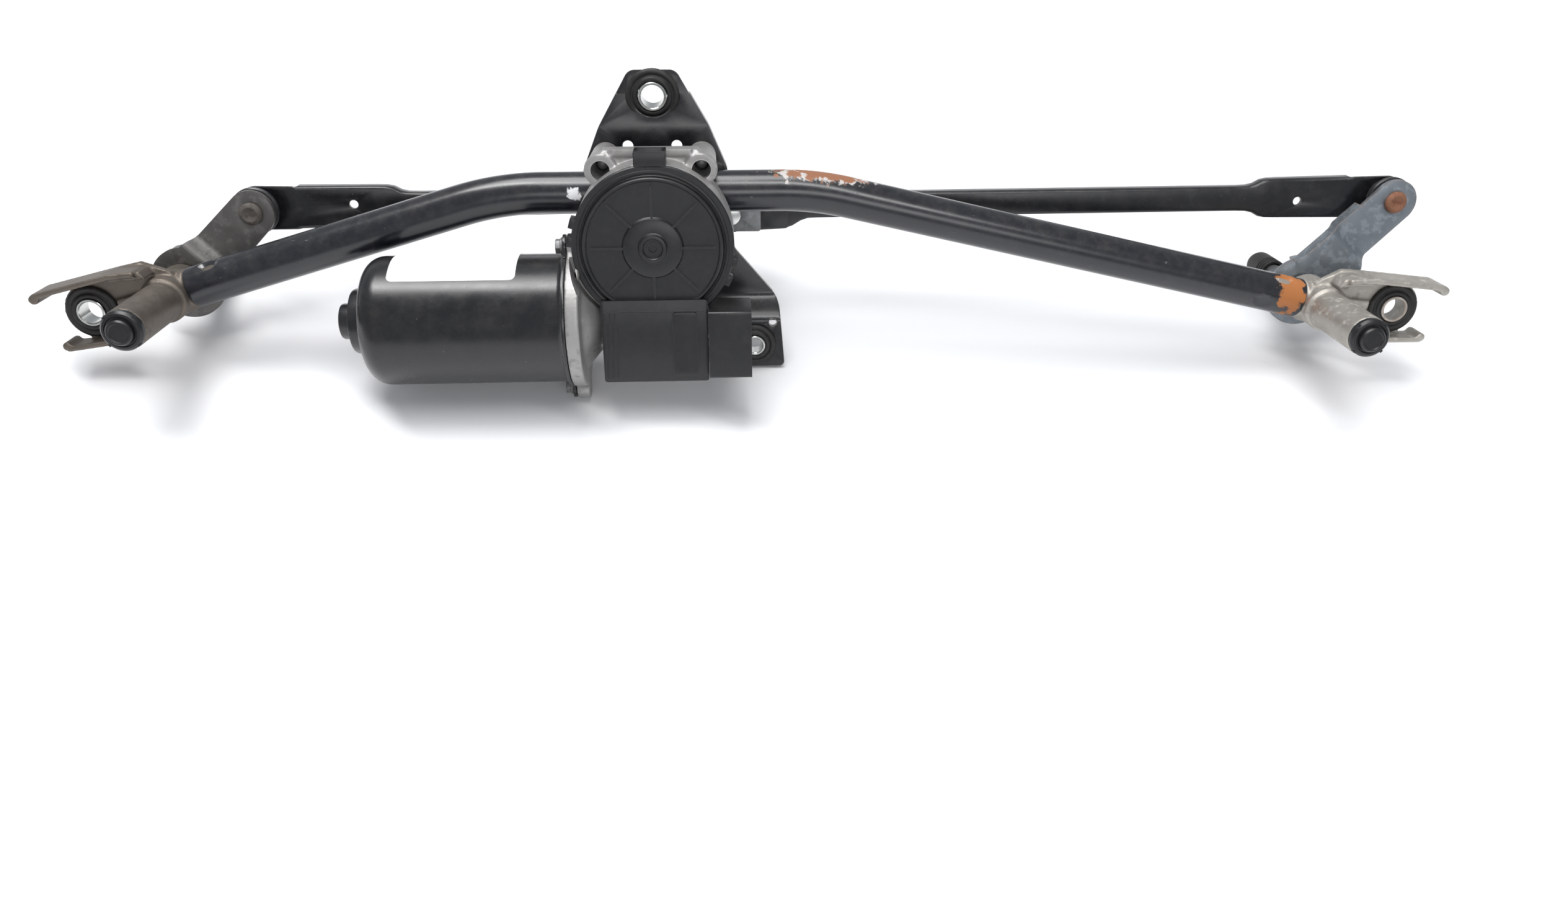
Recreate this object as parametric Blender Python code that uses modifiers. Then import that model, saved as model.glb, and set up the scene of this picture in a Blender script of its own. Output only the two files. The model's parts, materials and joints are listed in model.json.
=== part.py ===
"""Windshield wiper assembly: a tube frame with a gear motor, a crank, two links and two pivots.

Metres, +Z up. The pieces are placed in the gear frame: its origin is where the crank axis meets
the bracket's front face, X runs along the tube, Y runs back along the crank axis, and Z runs up
the bracket. The assembly empty then tips that frame, so that the part lies on its two spindle
caps and on the foot of the motor flange, with the middle of its base at the world's origin.
"""

import math

import bmesh
import bpy
from mathutils import Matrix, Vector

# Fineness and gaps
ROUND = 14                          # sides of a small round piece
WIDE = 28                           # sides of a large round piece
GAP = 0.0003                        # between two pieces that touch
FOLD = 0.0004                       # a cutter's or a joined shape's run past a face
SHARP = math.radians(35)

# Frame tube
TUBE_R = 0.0110
TUBE_WALL = 0.0015
TUBE_SEAT = 0.0005                  # from the tube to the bracket's face and to the housing's nose
NOSE_R = 0.0070
TUBE_Y = -TUBE_R - TUBE_SEAT
TUBE_Z = NOSE_R + TUBE_SEAT + TUBE_R
TUBE_BEND_R = 0.160
RIGHT_BEND_X = 0.085
TUBE_END = 0.0125                   # from a pivot axis to the tube's end
SPIGOT_LENGTH = 0.030

# Pivot housings
LEFT_PIVOT = (-0.2635, -0.0340)
RIGHT_PIVOT = (0.3750, -0.0493)
BARREL_R = 0.0108
BARREL_FRONT = -0.072
BARREL_BACK = 0.008
SPINDLE_R = 0.0060
SPINDLE_BACK = 0.064
BUSH_WALL = 0.0015
EAR_REACH = 0.0415                  # from a pivot axis to its ear's grommet
EAR_HALF = 0.0175
EAR_TIP = 0.061
EAR_WEB_FRONT = -0.018
EAR_WEB = 0.0040
EAR_LIP = 0.0155                    # how far the ear's lips stand in front of its web
LIP_WALL = 0.0030
LEFT_EAR_ANGLE = math.radians(-9.8)
RIGHT_EAR_ANGLE = math.radians(-2.6)
CAP_R = 0.0080                      # the cap on a spindle's arm end
CAP_LENGTH = 0.025
CAP_BACK = 0.072

# Rubber grommets and their steel sleeves
EAR_GROMMET_R = 0.0142
EAR_SLEEVE_R = 0.0075
EAR_SLEEVE_BORE = 0.0060
TOP_GROMMET_R = 0.0143
TOP_SLEEVE_R = 0.0076
TOP_SLEEVE_BORE = 0.0061
LOW_GROMMET_R = 0.0117
LOW_SLEEVE_R = 0.0056
LOW_SLEEVE_BORE = 0.0042
GROMMET_LIP = 0.0032                # how far a grommet stands proud of its plate
GROMMET_GROOVE = 0.0030             # depth of the groove that the plate sits in
SLEEVE_PROUD = 0.0006

# Motor bracket
PLATE = 0.0030
BOSS_CLEAR = 0.0061                 # from the tube to the upper bolts' axes
BOSS_Z = TUBE_Z + TUBE_R + BOSS_CLEAR
SHOULDER_HALF = 0.0295
SHOULDER_Z = BOSS_Z + 0.0151
TOP_GROMMET_Z = SHOULDER_Z + 0.0163
PLATE_TOP = TOP_GROMMET_Z + 0.0125
PLATE_TOP_HALF = 0.0125
HIP_HALF = 0.0390
HIP_Z = BOSS_Z - 0.0076
LEAN = math.radians(8.0)
STEP_Z = (-0.0430, -0.0540)
STEP_FORWARD = 0.0120
PAD_RIGHT = 0.0695
PAD_BOTTOM = -0.0820
FLANGE_DEPTH = 0.0085
FLANGE_WALL = 0.0025
LOW_GROMMET = (0.0526, -0.0684)
LOCATING_Z = BOSS_Z + 0.0050
LOCATING_HOLES = ((-0.0142, LOCATING_Z, 0.0029), (0.0120, LOCATING_Z, 0.0029), (0.0628, -0.0560, 0.0022))
BOLT_HOLE_R = 0.0033

# Gear housing
POT_R = 0.0415
POT_WALL = 0.0028
POT_FRONT = -0.0520
POT_BACK = -0.0250
NOSE_BACK = 0.0050
BOSS_R = 0.0079
BOSS_FRONT = -0.0400
BOSS_BORE = 0.0039
BOSSES = ((-0.0260, BOSS_Z), (0.0254, BOSS_Z))
STUB_BOSS = (0.0240, -0.0340)
BRIDGE = (BOSS_Z - 0.0056, BOSS_Z + 0.0099)     # bottom, top of the bar between the upper bosses
TRAY_DEPTH = 0.0135
TRAY_SET = 0.0006                   # how far the tray stands behind the pot's rim
TRAY_WALL = 0.0030

# Motor
WHEEL_ROOM = 0.0004                 # from the worm wheel's teeth to the pot's wall
WHEEL_R = POT_R - POT_WALL - WHEEL_ROOM
WORM_R = 0.0041
MOTOR_Y = -0.0380
MOTOR_Z = -(WHEEL_R + WORM_R + GAP)
CAN_R = 0.0340
CAN_WALL = 0.0018
TRAY = (-0.0285, 0.0268, MOTOR_Z - 0.0273, MOTOR_Z + 0.0227)    # left, right, bottom, top
FLANGE_FACE = -(POT_R + 0.0040)     # where the can's flange meets the housing's
CAN_LENGTH = 0.1067
CAN_OPEN = FLANGE_FACE - GAP
CAN_END = CAN_OPEN - CAN_LENGTH
CAN_CORNER = 0.0110
STEP_R = 0.0172
STEP_END = CAN_END - 0.0075
TIP_R = 0.0095
TIP_END = STEP_END - 0.0068
FLANGE_THICK = 0.0072
CAN_FLANGE = 0.0018
FLANGE_R = CAN_R + 0.0025
SCREW_REACH = CAN_R + 0.0050        # from the motor axis to each flange screw
SCREW_EAR_R = 0.0067
SCREW_R = 0.0020
SCREW_DEPTH = 0.0050                # how far a flange screw goes into the housing
BRUSH_ROOM = 0.0045                 # depth of the housing's room for the brushes
BRUSH_ROOM_R = CAN_R - 0.0050
NECK_R = FLANGE_R - 0.0055
NECK_END_R = 0.0120
NECK_END_X = FLANGE_FACE + 0.0198
TUNNEL_R = 0.0110
TUNNEL_END = 0.0268
TUNNEL_BORE = 0.0056
ARMATURE_R = 0.0040
SHAFT_TIP = 0.0230
WORM_HALF = 0.0180
WORM_GROOVE = 0.0012
CORE_ENDS = (CAN_END + 0.0165, CAN_END + 0.0645)
CORE_SLOTS = 12
MAGNET_WALL = 0.0050
MAGNET_ENDS = (CAN_END + 0.0125, CAN_END + 0.0705)
CORE_ROOM = 0.0024                  # from the armature's core to the magnets
CORE_R = CAN_R - CAN_WALL - GAP - MAGNET_WALL - CORE_ROOM
COMMUTATOR_R = 0.0100
COMMUTATOR_ENDS = (FLANGE_FACE - 0.0345, FLANGE_FACE - 0.0185)
BRUSH_ENDS = (FLANGE_FACE - 0.0265, FLANGE_FACE - 0.0205)
BRUSH_TOP = 0.0200                  # from the motor axis to a brush's outer end
HOLDER_ENDS = (FLANGE_FACE - 0.0175, FLANGE_FACE - 0.0145)
WORM_BUSH_ENDS = (FLANGE_FACE + 0.0055, FLANGE_FACE + 0.0155)

LEFT_BEND_X = -(CAN_R + 0.0480)     # the tube bends down beyond here, clear of the case

# Gear, output shaft and crank
WHEEL_TEETH = 55
TOOTH = 0.0016
WHEEL_WIDTH = 0.0100
SHAFT_R = 0.0043
OUTPUT_BUSH_WALL = 0.0010
CRANK_LENGTH = 0.0400
CRANK_TAIL = 0.0572                 # from the crank axis to the arm's squared end
CRANK_HALF = 0.0095
CRANK_FRONT = 0.0110
CRANK_PLATE = 0.0035
NUT_HEIGHT = 0.0058
SHAFT_PROUD = 0.0008                # the output shaft's end past its nut, clear of the cup that sweeps by
NUT_FLATS = 0.0130

# Cover and connector
COVER_BACK = -0.0534
COVER_RIM = 0.0030
DISC_R = POT_R - 0.0059
DISC_RISE = 0.0052
HUB_R = 0.0150
RIB_COUNT = 8
TAB_REACH = 0.0022                  # how far the cover's snap tabs stand out of its rim
TAB_HALF = 0.0026
TAB_BACK = -0.0480
BOX = (-0.0282, 0.0269, MOTOR_Z - 0.0288, MOTOR_Z + 0.0157)     # left, right, bottom, top
BOX_FRONT = -0.0605
BOX_WALL = 0.0020
BOX_ROOM_TOP = BOX[3] - 0.0060
PANEL = (0.0085, 0.0215, BOX[2] + 0.0035, BOX[3] - 0.0065)
CONNECTOR = (BOX[1] + GAP, 0.0495, BOX[2] + 0.0030, BOX[3] - 0.0050)
CONNECTOR_FRONT = -0.0660
CONNECTOR_BACK = -0.0400
CONNECTOR_WALL = 0.0022
SOCKET_FLOOR = 0.0050
PIN_COUNT = 5
PIN_HALF = 0.0007

# Levers and links
LEFT_LEVER = 0.0533
LEFT_LEVER_ANGLE = math.radians(46.4)           # from upright, towards +X
RIGHT_LEVER = 0.0714
RIGHT_LEVER_ANGLE = math.radians(44.7)
LEVER_PLATE = 0.0035
LEVER_HUB_R = 0.0200
LEVER_HUB_FRONT = 0.0090
LEVER_EYE_R = 0.0125
LEVER_EYE_FRONT = 0.0160
LEVER_EYE_LENGTH = 0.0310                       # from the pin to the joggle
LEVER_FLANGE = 0.0080
BALL_R = 0.0055
SOCKET_R = 0.0130
SOCKET_FRONT = 0.0218
LINK_WALL = 0.0020
LINK_FLANGE = 0.0070
LINK_WEB = 0.0290                               # front of a link's web
LINK_END_HALF = 0.0112
LINK_MID_HALF = 0.0073
LINK_END_LENGTH = 0.0700
LINK_HOLE_REACH = 0.0520
LINK_HOLE_R = 0.0024
LEFT_LINK_SHIFT = 0.0197                        # how far the left link slants back at the crank

BLACK_PAINT = ((0.018, 0.020, 0.026), 0.38, 0.0)
BLACK_STEEL = ((0.022, 0.023, 0.027), 0.42, 0.2)
BLACK_PLASTIC = ((0.016, 0.017, 0.019), 0.50, 0.0)
RUBBER = ((0.020, 0.020, 0.022), 0.70, 0.0)
CAST = ((0.42, 0.40, 0.38), 0.55, 0.8)
ZINC = ((0.34, 0.36, 0.39), 0.45, 0.9)
BRIGHT = ((0.62, 0.63, 0.62), 0.28, 1.0)
BRONZE = ((0.45, 0.30, 0.16), 0.40, 0.9)
COPPER = ((0.60, 0.30, 0.18), 0.35, 1.0)
RUST = ((0.20, 0.08, 0.045), 0.80, 0.4)
FERRITE = ((0.06, 0.06, 0.06), 0.60, 0.3)
CARBON = ((0.05, 0.05, 0.05), 0.65, 0.2)
NYLON = ((0.75, 0.73, 0.66), 0.45, 0.0)
BOARD = ((0.10, 0.08, 0.05), 0.55, 0.0)

FACE_Y = (math.pi / 2, 0, 0)                    # an outline drawn in X and Z
FACE_X = (math.pi / 2, 0, math.pi / 2)          # an outline drawn in Y and Z
ALONG_Y = (-math.pi / 2, 0, 0)
ALONG_X = (0, math.pi / 2, 0)

for old in list(bpy.data.objects):
    bpy.data.objects.remove(old, do_unlink=True)
PARTS = bpy.data.collections.new("windshield_wiper_assembly")
CUTTERS = bpy.data.collections.new("cutters")
for made in (PARTS, CUTTERS):
    bpy.context.scene.collection.children.link(made)
AXES = {}


# ---- making objects -------------------------------------------------------------------------

def axis_empty(name, place):
    """An empty on a joint's axis, or at the gear frame's origin for the assembly itself."""
    empty = bpy.data.objects.new(name, None)
    empty.empty_display_size = 0.02
    PARTS.objects.link(empty)
    if AXES:
        empty.parent = AXES["assembly"]
    empty.location = place
    AXES[name] = empty


def put(name, mesh, place=(0, 0, 0), turn=(0, 0, 0), on="assembly", finish=None):
    """An object at a place in the gear frame, parented to an axis. With no finish it is a helper."""
    obj = bpy.data.objects.new(name, mesh)
    parent = AXES[on]
    obj.parent = parent
    start = parent.location if on != "assembly" else Vector()
    obj.location = Vector(place) - start
    obj.rotation_euler = turn
    if finish is None:
        CUTTERS.objects.link(obj)
        obj.hide_render = True
        obj.display_type = "WIRE"
        return obj
    PARTS.objects.link(obj)
    colour, roughness, metallic = finish
    material = bpy.data.materials.new(name)
    material.use_nodes = True
    shader = material.node_tree.nodes["Principled BSDF"]
    shader.inputs["Base Color"].default_value = (*colour, 1)
    shader.inputs["Roughness"].default_value = roughness
    shader.inputs["Metallic"].default_value = metallic
    mesh.materials.append(material)
    return obj


def mesh_of(bm, name):
    mesh = bpy.data.meshes.new(name)
    bm.to_mesh(mesh)
    bm.free()
    mesh.shade_smooth()
    mesh.set_sharp_from_angle(angle=SHARP)
    return mesh


def block(name, low, high, **where):
    low, high = Vector(low), Vector(high)
    bm = bmesh.new()
    bmesh.ops.create_cube(bm, size=1.0)
    bmesh.ops.scale(bm, vec=high - low, verts=bm.verts)
    return put(name, mesh_of(bm, name), (low + high) / 2, **where)


def bar(name, start, end, radius, end_radius=None, sides=ROUND, **where):
    """A round or tapered bar between two points."""
    start, end = Vector(start), Vector(end)
    bm = bmesh.new()
    far = radius if end_radius is None else end_radius
    length = (end - start).length
    bmesh.ops.create_cone(bm, cap_ends=True, segments=sides, radius1=radius, radius2=far, depth=length)
    turn = (end - start).to_track_quat("Z", "Y").to_euler()
    return put(name, mesh_of(bm, name), (start + end) / 2, turn, **where)


def bar_y(name, spot, radius, front, back, **more):
    return bar(name, (spot[0], front, spot[1]), (spot[0], back, spot[1]), radius, **more)


def bar_x(name, spot, radius, left, right, **more):
    return bar(name, (left, spot[0], spot[1]), (right, spot[0], spot[1]), radius, **more)


def turned(name, along, place, profile, sides=ROUND, turn=None, **where):
    """A turned piece from (radius, place along its axis) points, closed unless it ends on the axis."""
    after = profile[1:] + profile[:1]
    if sum(a[0] * b[1] - b[0] * a[1] for a, b in zip(profile, after)) > 0:
        profile = profile[::-1]
    count = len(profile)
    edges = [(i, i + 1) for i in range(count - 1)]
    if min(radius for radius, _ in profile) > 0:
        edges.append((count - 1, 0))
    mesh = bpy.data.meshes.new(name)
    mesh.from_pydata([(radius, 0, height) for radius, height in profile], edges, [])
    turn = turn or (ALONG_Y if along == "Y" else ALONG_X)
    obj = put(name, mesh, place, turn, **where)
    screw = obj.modifiers.new("Turn", "SCREW")
    screw.angle = 2 * math.pi
    screw.steps = sides
    screw.render_steps = sides
    screw.use_merge_vertices = True
    screw.merge_threshold = 0.00001
    return obj


def real_mesh(name, curve, merge=0.000001):
    """The mesh of a curve, with its caps welded on and its faces turned outwards."""
    guide = bpy.data.objects.new(name, curve)
    bpy.context.scene.collection.objects.link(guide)
    graph = bpy.context.evaluated_depsgraph_get()
    found = bpy.data.meshes.new_from_object(guide.evaluated_get(graph))
    bpy.data.objects.remove(guide)
    bm = bmesh.new()
    bm.from_mesh(found)
    bpy.data.meshes.remove(found)
    bmesh.ops.remove_doubles(bm, verts=bm.verts, dist=merge)
    bmesh.ops.recalc_face_normals(bm, faces=bm.faces)
    return mesh_of(bm, name)


def outline_mesh(name, loops, thickness):
    """A flat sheet from an outline and the holes in it."""
    curve = bpy.data.curves.new(name, "CURVE")
    curve.dimensions = "2D"
    curve.fill_mode = "BOTH"
    curve.extrude = thickness / 2
    for loop in loops:
        spline = curve.splines.new("POLY")
        spline.points.add(len(loop) - 1)
        for point, (x, y) in zip(spline.points, loop):
            point.co = (x, y, 0, 1)
        spline.use_cyclic_u = True
    return real_mesh(name, curve)


def plate(name, loops, front, back, **where):
    """A sheet across Y, from outlines in X and Z."""
    return put(name, outline_mesh(name, loops, back - front), (0, (front + back) / 2, 0), FACE_Y, **where)


def slab(name, loops, left, right, **where):
    """A sheet across X, from outlines in Y and Z."""
    return put(name, outline_mesh(name, loops, right - left), ((left + right) / 2, 0, 0), FACE_X, **where)


def boolean(obj, operation, helpers):
    for helper in helpers:
        step = obj.modifiers.new(f"{operation.title()} {helper.name}", "BOOLEAN")
        step.operation = operation
        step.solver = "EXACT"
        step.object = helper
    return obj


def cut(obj, *helpers):
    return boolean(obj, "DIFFERENCE", helpers)


def join(obj, *helpers):
    return boolean(obj, "UNION", helpers)


def keep(obj, *helpers):
    return boolean(obj, "INTERSECT", helpers)


# ---- outlines -------------------------------------------------------------------------------

def arc(centre, radius, start, end, steps):
    """Points on an arc, with its angles measured from +X towards the outline's other axis."""
    turns = [start + (end - start) * i / steps for i in range(steps + 1)]
    return [(centre[0] + radius * math.cos(a), centre[1] + radius * math.sin(a)) for a in turns]


def circle(centre, radius, sides=ROUND):
    return arc(centre, radius, 0, 2 * math.pi * (1 - 1 / sides), sides - 1)


def corner(before, here, after, radius, steps):
    """The arc that rounds one corner."""
    here = Vector(here)
    back = (Vector(before) - here).normalized()
    on = (Vector(after) - here).normalized()
    half = back.angle(on) / 2
    centre = here + (back + on).normalized() * radius / math.sin(half)
    first = here + back * radius / math.tan(half) - centre
    last = here + on * radius / math.tan(half) - centre
    start = math.atan2(first.y, first.x)
    sweep = (math.atan2(last.y, last.x) - start + math.pi) % (2 * math.pi) - math.pi
    return arc(centre, radius, start, start + sweep, steps)


def rounded(corners, steps=4):
    """A closed outline from (x, y, radius) corners."""
    points = []
    count = len(corners)
    for i, (x, y, radius) in enumerate(corners):
        if radius == 0:
            points.append((x, y))
        else:
            before, after = corners[i - 1][:2], corners[(i + 1) % count][:2]
            points += corner(before, (x, y), after, radius, steps)
    return points


def box_outline(left, right, bottom, top, radius=0):
    return rounded([(x, y, radius) for x, y in ((left, bottom), (right, bottom), (right, top), (left, top))])


def ribbon(points, width):
    """A strip of one width along the left side of an open line of points."""
    points = [Vector(p) for p in points]
    inner = []
    for i, point in enumerate(points):
        ahead = points[min(i + 1, len(points) - 1)] - points[max(i - 1, 0)]
        side = Vector((-ahead.y, ahead.x)).normalized()
        inner.append(point + side * width)
    return [tuple(p) for p in points + inner[::-1]]


def swing(points, angle, origin=(0, 0)):
    """Outline points turned about (0, 0) and then moved to an origin."""
    turn = Matrix.Rotation(angle, 2)
    return [tuple(turn @ Vector(p) + Vector(origin)) for p in points]


def ball_points(radius, centre, start, end, steps):
    """Profile points round a ball, with its angles measured from the +axis end."""
    turns = [start + (end - start) * i / steps for i in range(steps + 1)]
    return [(max(radius * math.sin(a), 0.0), centre + radius * math.cos(a)) for a in turns]


# ---- sides ----------------------------------------------------------------------------------

class Side:
    """The sizes that differ between the left and the right pivot."""

    def __init__(self, name, sign, pivot, bend_x, ear_angle, lever, lever_angle):
        self.name = name
        self.sign = sign
        self.pivot = pivot
        self.bend = (bend_x, TUBE_Z)
        self.ear_angle = ear_angle
        self.lever = lever
        self.lever_angle = math.pi / 2 - lever_angle
        self.pin = tuple(swing([(lever, 0)], self.lever_angle, pivot)[0])
        self.arm = (Vector(pivot) - Vector(self.bend)).normalized()

    def along_arm(self, reach):
        """A place in the tube's middle plane, at a distance inwards from the pivot axis."""
        spot = Vector(self.pivot) - self.arm * reach
        return (spot.x, TUBE_Y, spot.y)

    def ear(self, points):
        """Outline points drawn outwards from the pivot, in the ear's own direction."""
        turned_points = swing(points, self.ear_angle)
        return [(self.pivot[0] + self.sign * x, self.pivot[1] + y) for x, y in turned_points]

    def ear_spot(self):
        return self.ear([(EAR_REACH, 0)])[0]


LEFT = Side("left", -1, LEFT_PIVOT, LEFT_BEND_X, LEFT_EAR_ANGLE, LEFT_LEVER, LEFT_LEVER_ANGLE)
RIGHT = Side("right", 1, RIGHT_PIVOT, RIGHT_BEND_X, RIGHT_EAR_ANGLE, RIGHT_LEVER, RIGHT_LEVER_ANGLE)
SIDES = (LEFT, RIGHT)
CRANK_PIN = (CRANK_LENGTH, 0.0)


# ---- frame ----------------------------------------------------------------------------------

def frame_tube():
    """A bent round tube, open at both ends, where it is crimped on the pivot housings."""
    left_end, right_end = LEFT.along_arm(TUBE_END), RIGHT.along_arm(TUBE_END)
    left, right = (left_end[0], left_end[2]), (right_end[0], right_end[2])
    line = [left]
    line += corner(left, LEFT.bend, RIGHT.bend, TUBE_BEND_R, 6)
    line += corner(LEFT.bend, RIGHT.bend, right, TUBE_BEND_R, 6)
    line.append(right)
    curve = bpy.data.curves.new("frame_tube", "CURVE")
    curve.dimensions = "3D"
    curve.bevel_depth = TUBE_R
    curve.bevel_resolution = 6
    spline = curve.splines.new("POLY")
    spline.points.add(len(line) - 1)
    for point, (x, z) in zip(spline.points, line):
        point.co = (x, TUBE_Y, z, 1)
    tube = put("frame_tube", real_mesh("frame_tube", curve), finish=BLACK_PAINT)
    wall = tube.modifiers.new("Wall", "SOLIDIFY")
    wall.thickness = TUBE_WALL
    wall.offset = -1


def sheet_profile(front, start, depth):
    """The closed edge view of a folded sheet, from its front line, set back by start."""
    return [(a, b + start) for a, b in front] + [(a, b + depth) for a, b in front[::-1]]


def bracket_profile(start, depth):
    """The bracket's side view in Y and Z: its top leans back and its foot steps forward."""
    top = PLATE_TOP + FOLD
    high, low = STEP_Z
    front = [(top, lean_y(top)), (SHOULDER_Z, 0), (high, 0), (low, -STEP_FORWARD)]
    front.append((PAD_BOTTOM - FOLD, -STEP_FORWARD))
    return [(y, z) for z, y in sheet_profile(front, start, depth)]


def lean_y(z):
    """How far the bracket's front face has leaned back at a height above its shoulder."""
    return (z - SHOULDER_Z) * math.tan(LEAN)


def motor_bracket():
    """One stamped plate: a leaning top with folded sides, a flat middle and a stepped foot."""
    right_edge = [(HIP_HALF, HIP_Z, 0.010), (HIP_HALF + 0.0005, -0.013, 0.020)]
    right_edge += [(PAD_RIGHT - 0.003, -0.0450, 0.016), (PAD_RIGHT, PAD_BOTTOM, 0.003)]
    left_edge = [(0.036, PAD_BOTTOM, 0.008), (0.030, -0.0560, 0.008), (-0.004, -0.0450, 0.010)]
    left_edge += [(-0.026, -0.0360, 0.012), (-HIP_HALF, -0.008, 0.012), (-HIP_HALF, HIP_Z, 0.010)]
    top = [(-SHOULDER_HALF, SHOULDER_Z, 0.030), (-PLATE_TOP_HALF, PLATE_TOP, 0.006)]
    top += [(PLATE_TOP_HALF, PLATE_TOP, 0.006), (SHOULDER_HALF, SHOULDER_Z, 0.030)]
    outline = rounded(top + right_edge + left_edge)
    holes = [circle((x, z), r) for x, z, r in LOCATING_HOLES]
    holes += [circle(spot, BOLT_HOLE_R) for spot in (*BOSSES, STUB_BOSS)]
    holes += [circle((0, 0), NOSE_R + GAP, 24)]
    holes += [circle((0, TOP_GROMMET_Z), TOP_GROMMET_R - GROMMET_GROOVE + GAP, 24)]
    holes += [circle(LOW_GROMMET, LOW_GROMMET_R - GROMMET_GROOVE + GAP, 24)]
    deep = 0.030
    bracket = slab("motor_bracket", [bracket_profile(0, PLATE)], -0.075, 0.075, finish=BLACK_STEEL)
    keep(bracket, plate("bracket_outline", [outline, *holes], -deep, deep))
    for sign in (1, -1):
        edge = [(HIP_HALF, HIP_Z - 0.012), (HIP_HALF - 0.0004, HIP_Z)]
        edge += [(SHOULDER_HALF + 0.0004, SHOULDER_Z - 0.001), (PLATE_TOP_HALF + 0.0045, PLATE_TOP - 0.012)]
        edge = [(sign * x, z) for x, z in edge][::sign]
        strip = ribbon(edge, FLANGE_WALL)
        flange = slab(f"bracket_flange_{sign}", [bracket_profile(FOLD, FLANGE_DEPTH)], -0.075, 0.075)
        keep(flange, plate(f"bracket_flange_strip_{sign}", [strip], -deep, deep))
        join(bracket, flange)


def grommet_on(name, spot, plate_front, plate_thick, radius, sleeve, bore, lean=0.0):
    """A grooved rubber ring in a plate, and the flanged steel sleeve that a bolt goes through."""
    front, back = plate_front - GROMMET_LIP, plate_front + plate_thick + GROMMET_LIP
    groove = radius - GROMMET_GROOVE
    inner = sleeve + GAP
    soft = 0.0015
    profile = [(inner, front), (radius - soft, front), (radius, front + soft), (radius, plate_front - GAP)]
    profile += [(groove, plate_front - GAP), (groove, plate_front + plate_thick + GAP)]
    profile += [(radius - soft, plate_front + plate_thick + GAP), (radius - 2 * soft, back), (inner, back)]
    middle = plate_front + plate_thick / 2
    profile = [(r, y - middle) for r, y in profile]
    turn = (ALONG_Y[0] - lean, 0, 0)
    place = (spot[0], middle, spot[1])
    turned(f"{name}_grommet", "Y", place, profile, 20, turn, finish=RUBBER)
    half = (back - front) / 2 + SLEEVE_PROUD
    tube = [(bore, -half), (sleeve, -half), (sleeve, half), (bore, half)]
    turned(f"{name}_sleeve", "Y", place, tube, 20, turn, finish=BRIGHT)


def grommets():
    grommet_on("bracket_top", (0, TOP_GROMMET_Z), lean_y(TOP_GROMMET_Z), PLATE, TOP_GROMMET_R,
               TOP_SLEEVE_R, TOP_SLEEVE_BORE, LEAN)
    grommet_on("bracket_foot", LOW_GROMMET, -STEP_FORWARD, PLATE, LOW_GROMMET_R,
               LOW_SLEEVE_R, LOW_SLEEVE_BORE)
    for side in SIDES:
        grommet_on(f"{side.name}_ear", side.ear_spot(), EAR_WEB_FRONT, EAR_WEB, EAR_GROMMET_R,
                   EAR_SLEEVE_R, EAR_SLEEVE_BORE)


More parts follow.
